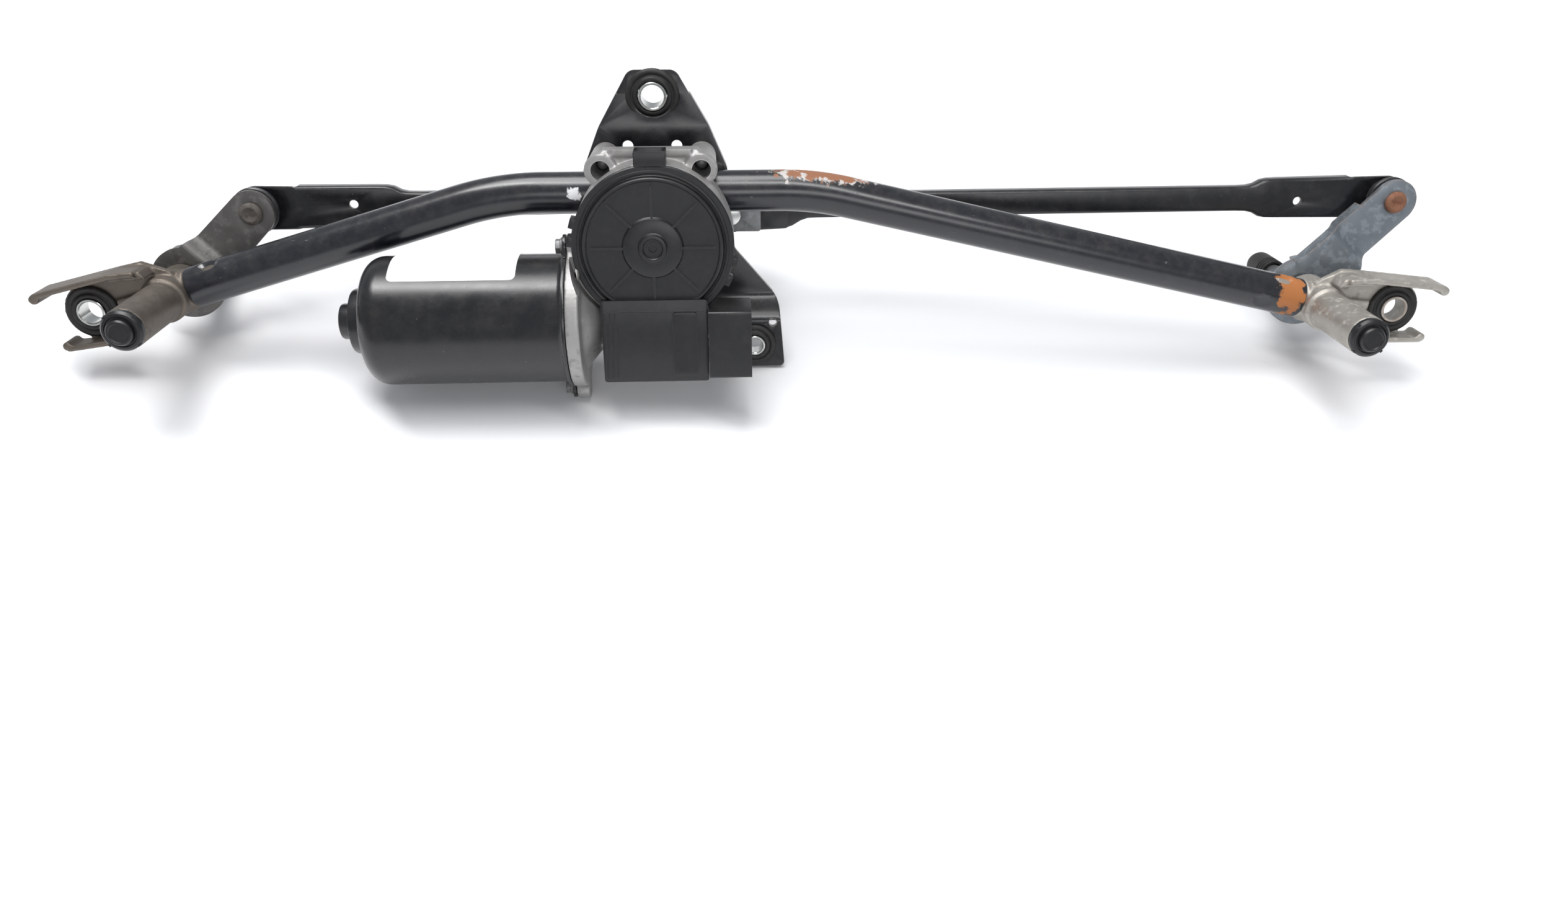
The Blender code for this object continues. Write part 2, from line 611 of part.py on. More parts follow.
def pivot_housing(side):
    """A casting: the spindle's barrel, the spigot in the tube's end, and a channel-shaped ear."""
    tag = side.name
    barrel = bar_y(f"{tag}_pivot_housing", side.pivot, BARREL_R, BARREL_FRONT, BARREL_BACK,
                   sides=24, finish=CAST)
    knuckle = bar(f"{tag}_knuckle", side.along_arm(0), side.along_arm(TUBE_END - GAP), TUBE_R, sides=24)
    spigot_r = TUBE_R - TUBE_WALL - GAP
    spigot = bar(f"{tag}_spigot", side.along_arm(0), side.along_arm(TUBE_END + SPIGOT_LENGTH), spigot_r)
    web_back = EAR_WEB_FRONT + EAR_WEB
    lip_front = EAR_WEB_FRONT - EAR_LIP
    round_end = arc((EAR_REACH, 0), EAR_GROMMET_R + 0.001, math.radians(60), math.radians(-60), 6)
    web = [(-0.006, 0.013), (0.008, 0.021), (0.020, 0.0205), (0.046, EAR_HALF), *round_end]
    web += [(0.046, -EAR_HALF), (0.030, -0.0185), (0.008, -0.0150), (-0.006, -0.009)]
    top_lip = ribbon([(EAR_TIP, EAR_HALF - LIP_WALL), (0.020, 0.0205 - LIP_WALL), (0.006, 0.0195 - LIP_WALL)],
                     -LIP_WALL)
    low_lip = ribbon([(0.026, LIP_WALL - 0.0185), (0.058, LIP_WALL - EAR_HALF)], -LIP_WALL)
    ear_web = plate(f"{tag}_ear_web", [side.ear(web)], EAR_WEB_FRONT, web_back)
    lips = [plate(f"{tag}_ear_top_lip", [side.ear(top_lip)], lip_front, web_back - FOLD / 2)]
    lips.append(plate(f"{tag}_ear_low_lip", [side.ear(low_lip)], lip_front + 0.006, web_back - FOLD / 2))
    rolls = [bar_y(f"{tag}_ear_top_roll", side.ear([(EAR_TIP, EAR_HALF - LIP_WALL)])[0], 0.0026,
                   lip_front + FOLD, web_back - FOLD)]
    rolls.append(bar_y(f"{tag}_ear_low_roll", side.ear([(0.058, LIP_WALL - EAR_HALF)])[0], 0.0024,
                       lip_front + 0.006 + FOLD, web_back - FOLD))
    join(barrel, knuckle, spigot, ear_web, *lips, *rolls)
    hole = bar_y(f"{tag}_ear_hole", side.ear_spot(), EAR_GROMMET_R - GROMMET_GROOVE + GAP,
                 EAR_WEB_FRONT - 0.002, web_back + 0.002, sides=24)
    bore = bar_y(f"{tag}_barrel_bore", side.pivot, SPINDLE_R + BUSH_WALL + 2 * GAP,
                 BARREL_FRONT - 0.002, BARREL_BACK + 0.002)
    cut(barrel, hole, bore)
    bush_bore, bush_r = SPINDLE_R + GAP, SPINDLE_R + BUSH_WALL + GAP
    ends = (BARREL_FRONT + 0.002, BARREL_BACK - 0.001)
    bush = [(bush_bore, ends[0]), (bush_r, ends[0]), (bush_r, ends[1]), (bush_bore, ends[1])]
    turned(f"{tag}_spindle_bush", "Y", (side.pivot[0], 0, side.pivot[1]), bush, finish=BRONZE)
    front = BARREL_FRONT - GAP
    cap = [(0, front), (BARREL_R - 0.0003, front), (BARREL_R - 0.0003, front - 0.0028)]
    cap += [(BARREL_R - 0.0015, front - 0.0036), (0.0066, front - 0.0036), (0.0064, front - 0.0058)]
    cap += [(0.0054, front - 0.0066), (0, front - 0.0066)]
    turned(f"{tag}_barrel_cap", "Y", (side.pivot[0], 0, side.pivot[1]), cap, 20, finish=BLACK_PLASTIC)


# ---- gear housing and motor -----------------------------------------------------------------

def flange_outline(radius):
    """The motor flange in Y and Z: a disc with a screw ear above and below the motor axis."""
    points = []
    for sign in (1, -1):
        start = math.pi / 2 if sign < 0 else -math.pi / 2
        points += arc((MOTOR_Y, MOTOR_Z), radius, start + 0.25, start + math.pi - 0.25, 12)
        first = math.radians(-10 if sign > 0 else 170)
        last = first + math.radians(200)
        points += arc((MOTOR_Y, MOTOR_Z + sign * SCREW_REACH), SCREW_EAR_R, first, last, 6)
    return points


def screw_spots():
    return [(MOTOR_Y, MOTOR_Z + sign * SCREW_REACH) for sign in (1, -1)]


def keep_clear(neck):
    """The motor's neck, cut back where the round cover passes it."""
    return cut(neck, bar_y("cover_room", (0, 0), POT_R + 2 * GAP, POT_FRONT - 0.020, POT_FRONT, sides=WIDE))


def gear_housing():
    """The cast gearbox: wheel pot, worm tunnel, output nose, mounting bosses and motor flange."""
    pot = bar_y("gear_housing", (0, 0), POT_R, POT_FRONT, POT_BACK, sides=WIDE, finish=CAST)
    solids = [bar_y(f"boss_{i}", spot, BOSS_R, BOSS_FRONT, -GAP) for i, spot in enumerate(BOSSES)]
    solids.append(block("boss_bridge", (BOSSES[0][0] + 0.001, BOSS_FRONT + 0.002, BRIDGE[0]),
                        (BOSSES[1][0] - 0.001, POT_BACK - 0.002, BRIDGE[1])))
    solids.append(bar_y("stub_boss", STUB_BOSS, 0.0072, POT_BACK - 0.003, -GAP))
    solids.append(bar_y("nose", (0, 0), NOSE_R, POT_BACK - 0.002, NOSE_BACK, sides=24))
    solids.append(bar_x("worm_tunnel", (MOTOR_Y, MOTOR_Z), TUNNEL_R, NECK_END_X - 0.004, TUNNEL_END))
    left, right, bottom, top = TRAY
    solids.append(block("tray", (left, POT_FRONT + TRAY_SET, bottom), (right, POT_FRONT + TRAY_DEPTH, top)))
    solids.append(keep_clear(bar_x("motor_neck", (MOTOR_Y, MOTOR_Z), NECK_R, FLANGE_FACE + 0.004, NECK_END_X,
                                   end_radius=NECK_END_R, sides=24)))
    flange = slab("housing_flange", [flange_outline(FLANGE_R)], FLANGE_FACE, FLANGE_FACE + FLANGE_THICK)
    cut(flange, bar_y("lid_room", (0, 0), POT_R + TAB_REACH + 0.0008, POT_FRONT - 0.020, TAB_BACK + 0.0010,
                      sides=WIDE))
    solids.append(flange)
    join(pot, *solids)
    inner = POT_R - POT_WALL
    pocket = (left + TRAY_WALL, POT_FRONT - 0.002, bottom + TRAY_WALL)
    cutters = [bar_y("wheel_room", (0, 0), inner, POT_FRONT - 0.002, POT_BACK - 0.003, sides=WIDE)]
    cutters.append(block("tray_room", pocket, (right - TRAY_WALL, POT_FRONT + 0.003, BOX[3] - 0.0030)))
    cutters.append(bar_x("worm_bore", (MOTOR_Y, MOTOR_Z), TUNNEL_BORE, FLANGE_FACE - 0.01, TUNNEL_END - 0.003))
    cutters.append(bar_x("brush_room", (MOTOR_Y, MOTOR_Z), BRUSH_ROOM_R, FLANGE_FACE - 0.002,
                         FLANGE_FACE + BRUSH_ROOM, sides=24))
    bush_r = SHAFT_R + OUTPUT_BUSH_WALL + 2 * GAP
    cutters.append(bar_y("nose_bore", (0, 0), bush_r, POT_BACK - 0.006, NOSE_BACK + 0.002))
    cutters.append(bar_x("tube_room", (TUBE_Y, TUBE_Z), TUBE_R + 0.0004, -0.060, 0.060, sides=24))
    for i, spot in enumerate(BOSSES):
        cutters.append(bar_y(f"boss_bore_{i}", spot, BOSS_BORE, BOSS_FRONT - 0.002, BOSS_FRONT + 0.014))
        cutters.append(bar_y(f"boss_thread_{i}", spot, 0.0033, BOSS_FRONT + 0.012, 0.002))
    cutters.append(bar_y("stub_thread", STUB_BOSS, 0.0033, POT_BACK + 0.004, 0.002))
    for i, spot in enumerate(screw_spots()):
        cutters.append(bar_x(f"flange_thread_{i}", spot, SCREW_R + GAP, FLANGE_FACE - 0.002,
                             FLANGE_FACE + SCREW_DEPTH + GAP))
    cut(pot, *cutters)


def bracket_bolts():
    """Bolts from behind the bracket into the housing's bosses."""
    for i, spot in enumerate((*BOSSES, STUB_BOSS)):
        tip = BOSS_FRONT + 0.016 if i < 2 else POT_BACK + 0.005
        head = (PLATE + GAP, PLATE + 0.0053)
        bolt = bar_y(f"bracket_bolt_{i + 1}", spot, 0.0054, *head, sides=6, finish=ZINC)
        join(bolt, bar_y(f"bolt_shank_{i + 1}", spot, 0.0030, tip, head[0] + 0.001, sides=12))
        join(bolt, bar_y(f"bolt_washer_{i + 1}", spot, 0.0059, head[0], head[0] + 0.0012))


def motor_can():
    """The motor's deep-drawn case, with its bearing cup at one end and a flange at the open one."""
    inner = CAN_R - CAN_WALL
    corner_r = CAN_CORNER - CAN_WALL
    centre = CAN_END + CAN_CORNER
    outer_arc = [(CAN_R - CAN_CORNER + CAN_CORNER * math.cos(a), centre - CAN_CORNER * math.sin(a))
                 for a in (math.pi / 2 * i / 4 for i in range(5))]
    inner_arc = [(CAN_R - CAN_CORNER + corner_r * math.cos(a), centre - corner_r * math.sin(a))
                 for a in (math.pi / 2 * i / 4 for i in range(5))]
    outer = [(CAN_R, CAN_OPEN), *outer_arc, (STEP_R + 0.001, CAN_END), (STEP_R, STEP_END + 0.001)]
    outer += [(STEP_R - 0.001, STEP_END), (TIP_R + 0.0004, STEP_END), (TIP_R, TIP_END + 0.0012)]
    outer += [(TIP_R - 0.0012, TIP_END), (0, TIP_END)]
    cup = TIP_R - CAN_WALL
    inside = [(0, TIP_END + CAN_WALL), (cup, TIP_END + CAN_WALL), (cup, STEP_END + CAN_WALL)]
    inside += [(STEP_R - CAN_WALL, STEP_END + CAN_WALL), (STEP_R - CAN_WALL, CAN_END + CAN_WALL)]
    inside += [*inner_arc[::-1], (inner, CAN_OPEN)]
    can = turned("motor_can", "X", (0, MOTOR_Y, MOTOR_Z), inside + outer, WIDE, finish=BLACK_PAINT)
    holes = [circle((MOTOR_Y, MOTOR_Z), CAN_R - 0.0009, WIDE)]
    holes += [circle(spot, SCREW_R + GAP) for spot in screw_spots()]
    loops = [flange_outline(FLANGE_R - 0.0005), *holes]
    join(can, slab("can_flange", loops, CAN_OPEN - CAN_FLANGE, CAN_OPEN - 0.00005))


def motor_screws():
    for i, spot in enumerate(screw_spots()):
        face = CAN_OPEN - CAN_FLANGE - GAP
        screw = bar_x(f"motor_screw_{i + 1}", spot, 0.0040, face - 0.0038, face, sides=6, finish=ZINC)
        tip = FLANGE_FACE + SCREW_DEPTH
        join(screw, bar_x(f"screw_shank_{i + 1}", spot, SCREW_R, face - 0.001, tip, sides=10))


def motor_inside():
    """Magnets, brush gear and bearings that stand still in the case and in the housing."""
    spot = (MOTOR_Y, MOTOR_Z)
    outer = CAN_R - CAN_WALL - GAP
    inner = outer - MAGNET_WALL
    half = math.radians(62)
    for tag, middle in (("front", math.pi), ("rear", 0.0)):
        loop = arc(spot, outer, middle - half, middle + half, 8)
        loop += arc(spot, inner, middle + half, middle - half, 8)
        slab(f"{tag}_magnet", [loop], *MAGNET_ENDS, finish=FERRITE)
    holder = [circle(spot, BRUSH_ROOM_R - 0.0005, 24), circle(spot, COMMUTATOR_R + 0.0012)]
    brushes = []
    for tag, sign in (("upper", 1), ("lower", -1)):
        low, high = sorted((MOTOR_Z + sign * (COMMUTATOR_R + GAP), MOTOR_Z + sign * BRUSH_TOP))
        brushes.append(block(f"{tag}_brush", (BRUSH_ENDS[0], MOTOR_Y - 0.0025, low),
                             (BRUSH_ENDS[1], MOTOR_Y + 0.0025, high), finish=CARBON))
    slab("brush_holder", holder, *HOLDER_ENDS, finish=BLACK_PLASTIC)
    cup = TIP_R - CAN_WALL - GAP
    bush = [(ARMATURE_R + GAP, TIP_END + 0.0022), (cup, TIP_END + 0.0022), (cup, STEP_END + 0.0012)]
    bush.append((ARMATURE_R + GAP, STEP_END + 0.0012))
    turned("motor_end_bush", "X", (0, *spot), bush, finish=BRONZE)
    inner, outer = ARMATURE_R + GAP, TUNNEL_BORE - GAP
    start, end = WORM_BUSH_ENDS
    bush = [(inner, start), (outer, start), (outer, end), (inner, end)]
    turned("worm_bush", "X", (0, *spot), bush, finish=BRONZE)


def armature():
    """The turning part of the motor: a shaft with its worm, the wound core and the commutator."""
    spot = (MOTOR_Y, MOTOR_Z)
    pitch = 2 * WORM_HALF / 9
    worm = []
    for i in range(9):
        start = WORM_HALF - i * pitch
        worm += [(WORM_R, start - 0.2 * pitch), (WORM_R, start - 0.5 * pitch)]
        worm += [(WORM_R - WORM_GROOVE, start - 0.7 * pitch), (WORM_R - WORM_GROOVE, start - pitch)]
    shaft = [(0, SHAFT_TIP), (ARMATURE_R - 0.0008, SHAFT_TIP), (ARMATURE_R - 0.0008, WORM_HALF), *worm]
    shaft += [(ARMATURE_R, -WORM_HALF - 0.004), (ARMATURE_R, TIP_END + 0.0040), (0, TIP_END + 0.0040)]
    turned("armature_shaft", "X", (0, *spot), shaft, 10, on="armature_axis", finish=BRIGHT)
    loop = []
    step = 2 * math.pi / CORE_SLOTS
    for i in range(CORE_SLOTS):
        loop += arc(spot, CORE_R, i * step + 0.07, (i + 1) * step - 0.07, 2)
        loop += [arc(spot, CORE_R - 0.008, a, a, 1)[0] for a in ((i + 1) * step - 0.04, (i + 1) * step + 0.04)]
    bore = circle(spot, ARMATURE_R + GAP, 12)
    slab("armature_core", [loop, bore], *CORE_ENDS, on="armature_axis", finish=COPPER)
    ring = [(ARMATURE_R + GAP, COMMUTATOR_ENDS[0]), (COMMUTATOR_R, COMMUTATOR_ENDS[0])]
    ring += [(COMMUTATOR_R, COMMUTATOR_ENDS[1]), (ARMATURE_R + GAP, COMMUTATOR_ENDS[1])]
    turned("commutator", "X", (0, *spot), ring, on="armature_axis", finish=COPPER)


def output_train():
    """The worm wheel, its shaft and bush, and the crank on the shaft's end."""
    tooth = 2 * math.pi / WHEEL_TEETH
    rim = []
    for i in range(WHEEL_TEETH):
        for share, radius in ((0.0, WHEEL_R - TOOTH), (0.25, WHEEL_R - TOOTH), (0.45, WHEEL_R), (0.75, WHEEL_R)):
            angle = (i + share) * tooth
            rim.append((radius * math.cos(angle), radius * math.sin(angle)))
    bore = SHAFT_R + GAP
    half = WHEEL_WIDTH / 2
    wheel = plate("worm_wheel", [rim, circle((0, 0), bore)], MOTOR_Y - half, MOTOR_Y + half,
                  on="crank_axis", finish=NYLON)
    hub = [(bore, POT_BACK - 0.0040), (0.0110, POT_BACK - 0.0040), (0.0110, -0.0470), (bore, -0.0470)]
    recess = [(0.0140, MOTOR_Y - half - 0.001), (0.0320, MOTOR_Y - half - 0.001)]
    recess += [(0.0320, MOTOR_Y - half + 0.003), (0.0140, MOTOR_Y - half + 0.003)]
    join(wheel, turned("wheel_hub", "Y", (0, 0, 0), hub, on="crank_axis"))
    cut(wheel, turned("wheel_recess", "Y", (0, 0, 0), recess, 24, on="crank_axis"))
    tip = CRANK_FRONT + CRANK_PLATE + GAP + NUT_HEIGHT + SHAFT_PROUD
    shaft = [(0, tip), (SHAFT_R - 0.0008, tip), (SHAFT_R, tip - 0.0008), (SHAFT_R, -0.0490), (0, -0.0490)]
    turned("output_shaft", "Y", (0, 0, 0), shaft, on="crank_axis", finish=BRIGHT)
    bush_r = SHAFT_R + OUTPUT_BUSH_WALL + GAP
    ends = (POT_BACK - 0.0025, NOSE_BACK - 0.0010)
    bush = [(bore, ends[0]), (bush_r, ends[0]), (bush_r, ends[1]), (bore, ends[1])]
    turned("output_bush", "Y", (0, 0, 0), bush, finish=BRONZE)


def crank():
    hub = arc((0, 0), 0.0125, math.radians(65), math.radians(295), 10)
    outline = hub + [(0.018, -CRANK_HALF), (CRANK_TAIL, -CRANK_HALF), (CRANK_TAIL, CRANK_HALF)]
    outline.append((0.018, CRANK_HALF))
    holes = [circle((0, 0), SHAFT_R + GAP), circle(CRANK_PIN, 0.0043)]
    back = CRANK_FRONT + CRANK_PLATE
    plate("crank_arm", [outline, *holes], CRANK_FRONT, back, on="crank_axis", finish=ZINC)
    nut = bar_y("crank_nut", (0, 0), NUT_FLATS / math.sqrt(3), back + GAP, back + GAP + NUT_HEIGHT,
                sides=6, on="crank_axis", finish=ZINC)
    cut(nut, bar_y("nut_bore", (0, 0), SHAFT_R + GAP, back - 0.002, back + NUT_HEIGHT + 0.004, on="crank_axis"))
    centre = SOCKET_FRONT - 0.0005 - BALL_R
    stud = [*ball_points(BALL_R, centre, 0, math.radians(75), 4), (0.0040, back + GAP)]
    stud += [(0.0040, CRANK_FRONT - GAP), (0.0060, CRANK_FRONT - GAP), (0.0052, CRANK_FRONT - 0.0012)]
    stud.append((0, CRANK_FRONT - 0.0012))
    turned("crank_ball_stud", "Y", (CRANK_PIN[0], 0, CRANK_PIN[1]), stud, on="crank_axis", finish=BRIGHT)


# ---- cover ----------------------------------------------------------------------------------

def gear_cover():
    """The moulded cover: a ribbed round lid, the contact box under it, and its clips."""
    rim = COVER_BACK - COVER_RIM
    face = COVER_BACK - DISC_RISE
    inside = COVER_BACK - 0.0022
    profile = [(0, inside), (POT_R - POT_WALL, inside), (POT_R - POT_WALL, COVER_BACK), (POT_R, COVER_BACK)]
    profile += [(POT_R, rim), (DISC_R + 0.0010, rim), (DISC_R, face - 0.0004), (DISC_R - 0.0015, face - 0.0004)]
    profile += [(DISC_R - 0.0022, face + 0.0006), (HUB_R + 0.0008, face + 0.0006), (HUB_R, face - 0.0008)]
    profile += [(0.0078, face - 0.0008), (0.0070, face - 0.0022), (0.0020, face - 0.0022), (0.0020, face)]
    profile.append((0, face))
    cover = turned("gear_cover", "Y", (0, 0, 0), profile, WIDE, finish=BLACK_PLASTIC)
    left, right, bottom, top = BOX
    join(cover, plate("contact_box", [box_outline(*BOX, 0.0015)], BOX_FRONT, COVER_BACK))
    for i in range(RIB_COUNT):
        angle = 2 * math.pi * i / RIB_COUNT
        strip = [(HUB_R - 0.0008, -0.0005), (DISC_R - 0.0050, -0.0005)]
        strip += [(DISC_R - 0.0050, 0.0005), (HUB_R - 0.0008, 0.0005)]
        join(cover, plate(f"cover_rib_{i}", [swing(strip, angle)], face - 0.0002, face + 0.0012))
    join(cover, plate("box_panel", [box_outline(*PANEL, 0.0022)], BOX_FRONT - 0.0012, BOX_FRONT + 0.0010))
    join(cover, block("top_clip", (-0.0080, rim, POT_R - 0.0012), (0.0080, POT_FRONT + 0.008, POT_R + 0.0065)))
    for i, degrees in enumerate((163, 176, -12, -26)):
        tab = box_outline(POT_R - 0.0008, POT_R + TAB_REACH, -TAB_HALF, TAB_HALF)
        join(cover, plate(f"snap_tab_{i}", [swing(tab, math.radians(degrees))], rim, TAB_BACK))
    room = (left + BOX_WALL, BOX_FRONT + BOX_WALL, bottom + BOX_WALL)
    box_room = block("box_room", room, (right - BOX_WALL, COVER_BACK + 0.002, BOX_ROOM_TOP))
    window = block("pin_window", (right - 0.004, BOX_FRONT + 0.0028, bottom + 0.0070),
                   (right + 0.001, BOX_FRONT + 0.0050, BOX_ROOM_TOP))
    clip_room = block("clip_room", (-0.0055, COVER_BACK, POT_R - 0.003), (0.0055, POT_FRONT + 0.009, POT_R + 0.0045))
    housing_room = bar_y("housing_room", (0, 0), POT_R + GAP, COVER_BACK, POT_FRONT + 0.012, sides=WIDE)
    cut(cover, box_room, window, clip_room, housing_room)
    ring = [(POT_R - 0.0024, POT_FRONT - 0.0011), (POT_R - 0.0003, POT_FRONT - 0.0011)]
    ring += [(POT_R - 0.0003, POT_FRONT - GAP), (POT_R - 0.0024, POT_FRONT - GAP)]
    turned("cover_gasket", "Y", (0, 0, 0), ring, WIDE, finish=RUBBER)


def pin_heights():
    low, high = CONNECTOR[2] + 0.0095, CONNECTOR[3] - 0.0095
    return [low + (high - low) * i / (PIN_COUNT - 1) for i in range(PIN_COUNT)]


def connector():
    """The plug socket beside the contact box, and the contact board whose pins stand in it."""
    left, right, bottom, top = CONNECTOR
    shell = block("connector_shell", (left, CONNECTOR_FRONT, bottom), (right, CONNECTOR_BACK, top),
                  finish=BLACK_PLASTIC)
    soft = shell.modifiers.new("Round edges", "BEVEL")
    soft.width = 0.0012
    soft.segments = 2
    wall = CONNECTOR_WALL
    floor = left + SOCKET_FLOOR
    cut(shell, block("plug_room", (floor, CONNECTOR_FRONT + wall, bottom + wall),
                     (right + 0.002, CONNECTOR_BACK - wall, top - wall)))
    rim_room = bar_y("rim_room", (0, 0), POT_R + 0.0006, COVER_BACK - COVER_RIM - 0.0006, CONNECTOR_BACK + 0.002,
                     sides=WIDE)
    cut(shell, rim_room)
    y_pin = BOX_FRONT + 0.0040
    board = block("contact_board", (-0.0230, y_pin - 0.0008, BOX[2] + 0.0045),
                  (0.0225, y_pin + 0.0008, BOX_ROOM_TOP - 0.0020), finish=BOARD)
    reach = right - 0.0040
    for i, z in enumerate(pin_heights()):
        low, high = (0.0205, y_pin - PIN_HALF, z - PIN_HALF), (reach, y_pin + PIN_HALF, z + PIN_HALF)
        join(board, block(f"pin_{i}", low, high))
        room = PIN_HALF + GAP
        cut(shell, block(f"pin_hole_{i}", (left - 0.002, y_pin - room, z - room), (floor + 0.002, y_pin + room,
                                                                                  z + room)))


# ---- levers and links -----------------------------------------------------------------------

def spindle(side):
    on = f"{side.name}_spindle_axis"
    place = (side.pivot[0], 0, side.pivot[1])
    seat = LEVER_HUB_FRONT + LEVER_PLATE + GAP
    cone = SPINDLE_BACK - 0.0140
    profile = [(0, SPINDLE_BACK), (0.0040, SPINDLE_BACK), (0.0040, cone), (0.0052, cone)]
    profile += [(SPINDLE_R, cone - 0.008), (SPINDLE_R, seat + 0.003), (0.0095, seat + 0.0025), (0.0095, seat)]
    profile += [(SPINDLE_R, seat), (SPINDLE_R, BARREL_FRONT + 0.001), (0, BARREL_FRONT + 0.001)]
    turned(f"{side.name}_spindle", "Y", place, profile, on=on, finish=ZINC)
    start = CAP_BACK - CAP_LENGTH
    room = SPINDLE_R + GAP
    loop = [(0, CAP_BACK), (CAP_R - 0.0040, CAP_BACK), (CAP_R - 0.0012, CAP_BACK - 0.0012)]
    loop += [(CAP_R, CAP_BACK - 0.0040), (CAP_R, start + 0.0070), (CAP_R - 0.0010, start + 0.0060)]
    loop += [(CAP_R - 0.0010, start + 0.0040), (CAP_R, start + 0.0030), (CAP_R, start), (room, start)]
    loop += [(room, SPINDLE_BACK + GAP), (0, SPINDLE_BACK + GAP)]
    turned(f"{side.name}_arm_end_cap", "Y", place, loop, on=on, finish=RUBBER)


def lever_profile(side, start, depth):
    """The lever's edge view: distance from the pivot along it, and Y."""
    joggle = side.lever - LEVER_EYE_LENGTH
    front = [(-0.030, LEVER_HUB_FRONT), (joggle - 0.007, LEVER_HUB_FRONT), (joggle, LEVER_EYE_FRONT)]
    front.append((side.lever + 0.020, LEVER_EYE_FRONT))
    return sheet_profile(front, start, depth)


def lever(side):
    """A joggled plate from the spindle to the ball stud, with one long edge folded back."""
    on = f"{side.name}_spindle_axis"
    tag = side.name
    place = (side.pivot[0], 0, side.pivot[1])
    # The edge view's own axes are the lever's length and Y, and it is swept across the lever's width.
    across = Matrix.Rotation(-side.lever_angle, 4, "Y")

    def edge_sheet(name, start, depth, **where):
        mesh = outline_mesh(name, [lever_profile(side, start, depth)], 0.060)
        return put(name, mesh, place, across.to_euler(), on=on, **where)

    eye = arc((side.lever, 0), LEVER_EYE_R, math.radians(-85), math.radians(85), 8)
    hub = arc((0, 0), LEVER_HUB_R, math.radians(50), math.radians(310), 12)
    neck = side.lever - LEVER_EYE_LENGTH
    outline = eye + [(neck, LEVER_EYE_R + 0.0005), (neck - 0.007, 0.0152)] + hub
    outline += [(neck - 0.007, -0.0152), (neck, -LEVER_EYE_R - 0.0005)]
    holes = [circle((0, 0), SPINDLE_R + GAP), circle((side.lever, 0), 0.0043)]
    loops = [swing(loop, side.lever_angle, side.pivot) for loop in (outline, *holes)]
    arm = edge_sheet(f"{tag}_lever", 0, LEVER_PLATE, finish=ZINC)
    keep(arm, plate(f"{tag}_lever_outline", loops, 0.0, 0.030, on=on))
    edge = [(side.lever - 0.0160, LEVER_EYE_R), (neck, LEVER_EYE_R + 0.0003), (neck - 0.007, 0.0150), (0.004, 0.0150)]
    strip = swing(ribbon(edge, 0.0025), side.lever_angle, side.pivot)
    fold = edge_sheet(f"{tag}_lever_fold", FOLD, LEVER_FLANGE)
    keep(fold, plate(f"{tag}_lever_fold_strip", [strip], 0.0, 0.035, on=on))
    join(arm, fold)


def lever_stud(side):
    """The ball stud riveted through the lever's eye."""
    back = LEVER_EYE_FRONT + LEVER_PLATE
    head = LEVER_EYE_FRONT - GAP
    centre = SOCKET_FRONT + 0.0042
    profile = [*ball_points(BALL_R, centre, 0, math.radians(145), 7), (0.0032, back + 0.0012)]
    profile += [(0.0048, back + 0.0010), (0.0048, back + GAP), (0.0040, back + GAP)]
    profile += [(0.0040, head), (0.0063, head), (0.0060, head - 0.0014), (0.0042, head - 0.0024), (0, head - 0.0026)]
    turned(f"{side.name}_lever_ball_stud", "Y", (side.pin[0], 0, side.pin[1]), profile,
           on=f"{side.name}_spindle_axis", finish=RUST)


def ball_socket(name, spot, front, on):
    """A moulded cup that snaps into a link's end and over a ball."""
    centre = front + 0.0042
    room = ball_points(BALL_R + 0.0006, centre, 0, math.radians(125), 6)
    profile = [*room, (room[-1][0], front), (SOCKET_R - 0.0010, front), (SOCKET_R, front + 0.0008)]
    profile += [(SOCKET_R, front + 0.0028), (0.0102, front + 0.0032), (0.0102, front + 0.0112)]
    profile += [(0.0088, front + 0.0122), (0, front + 0.0122)]
    turned(name, "Y", (spot[0], 0, spot[1]), profile, ROUND, on=on, finish=BLACK_PLASTIC)


def link_profile(side, start, depth):
    """A link's view from above: distance from the lever pin along it, and Y."""
    length = link_length(side)
    shift = LEFT_LINK_SHIFT if side is LEFT else 0.0
    front = [(-0.020, LINK_WEB), (0.020, LINK_WEB), (length - 0.020, LINK_WEB + shift)]
    front.append((length + 0.020, LINK_WEB + shift))
    return sheet_profile(front, start, depth)


def link_line(side):
    """A link's length and direction at rest, from its lever pin to the crank pin."""
    line = Vector(CRANK_PIN) - Vector(side.pin)
    return line.length, math.atan2(line.y, line.x)


def link_length(side):
    return link_line(side)[0]


def link_outline(side):
    """A link's front view: wide round ends and a narrow middle."""
    length = link_length(side)
    wide, slim = LINK_END_HALF, LINK_MID_HALF
    taper = 0.012
    upper = [(LINK_END_LENGTH, wide), (LINK_END_LENGTH + taper, slim), (length - 0.045, slim)]
    upper += [(length - 0.032, wide + 0.0015)]
    near = arc((0, 0), wide + 0.0012, math.radians(96), math.radians(264), 8)
    far = arc((length, 0), wide + 0.0030, math.radians(-84), math.radians(84), 8)
    lower = [(u, -v) for u, v in upper]
    return near + lower + far + upper[::-1]


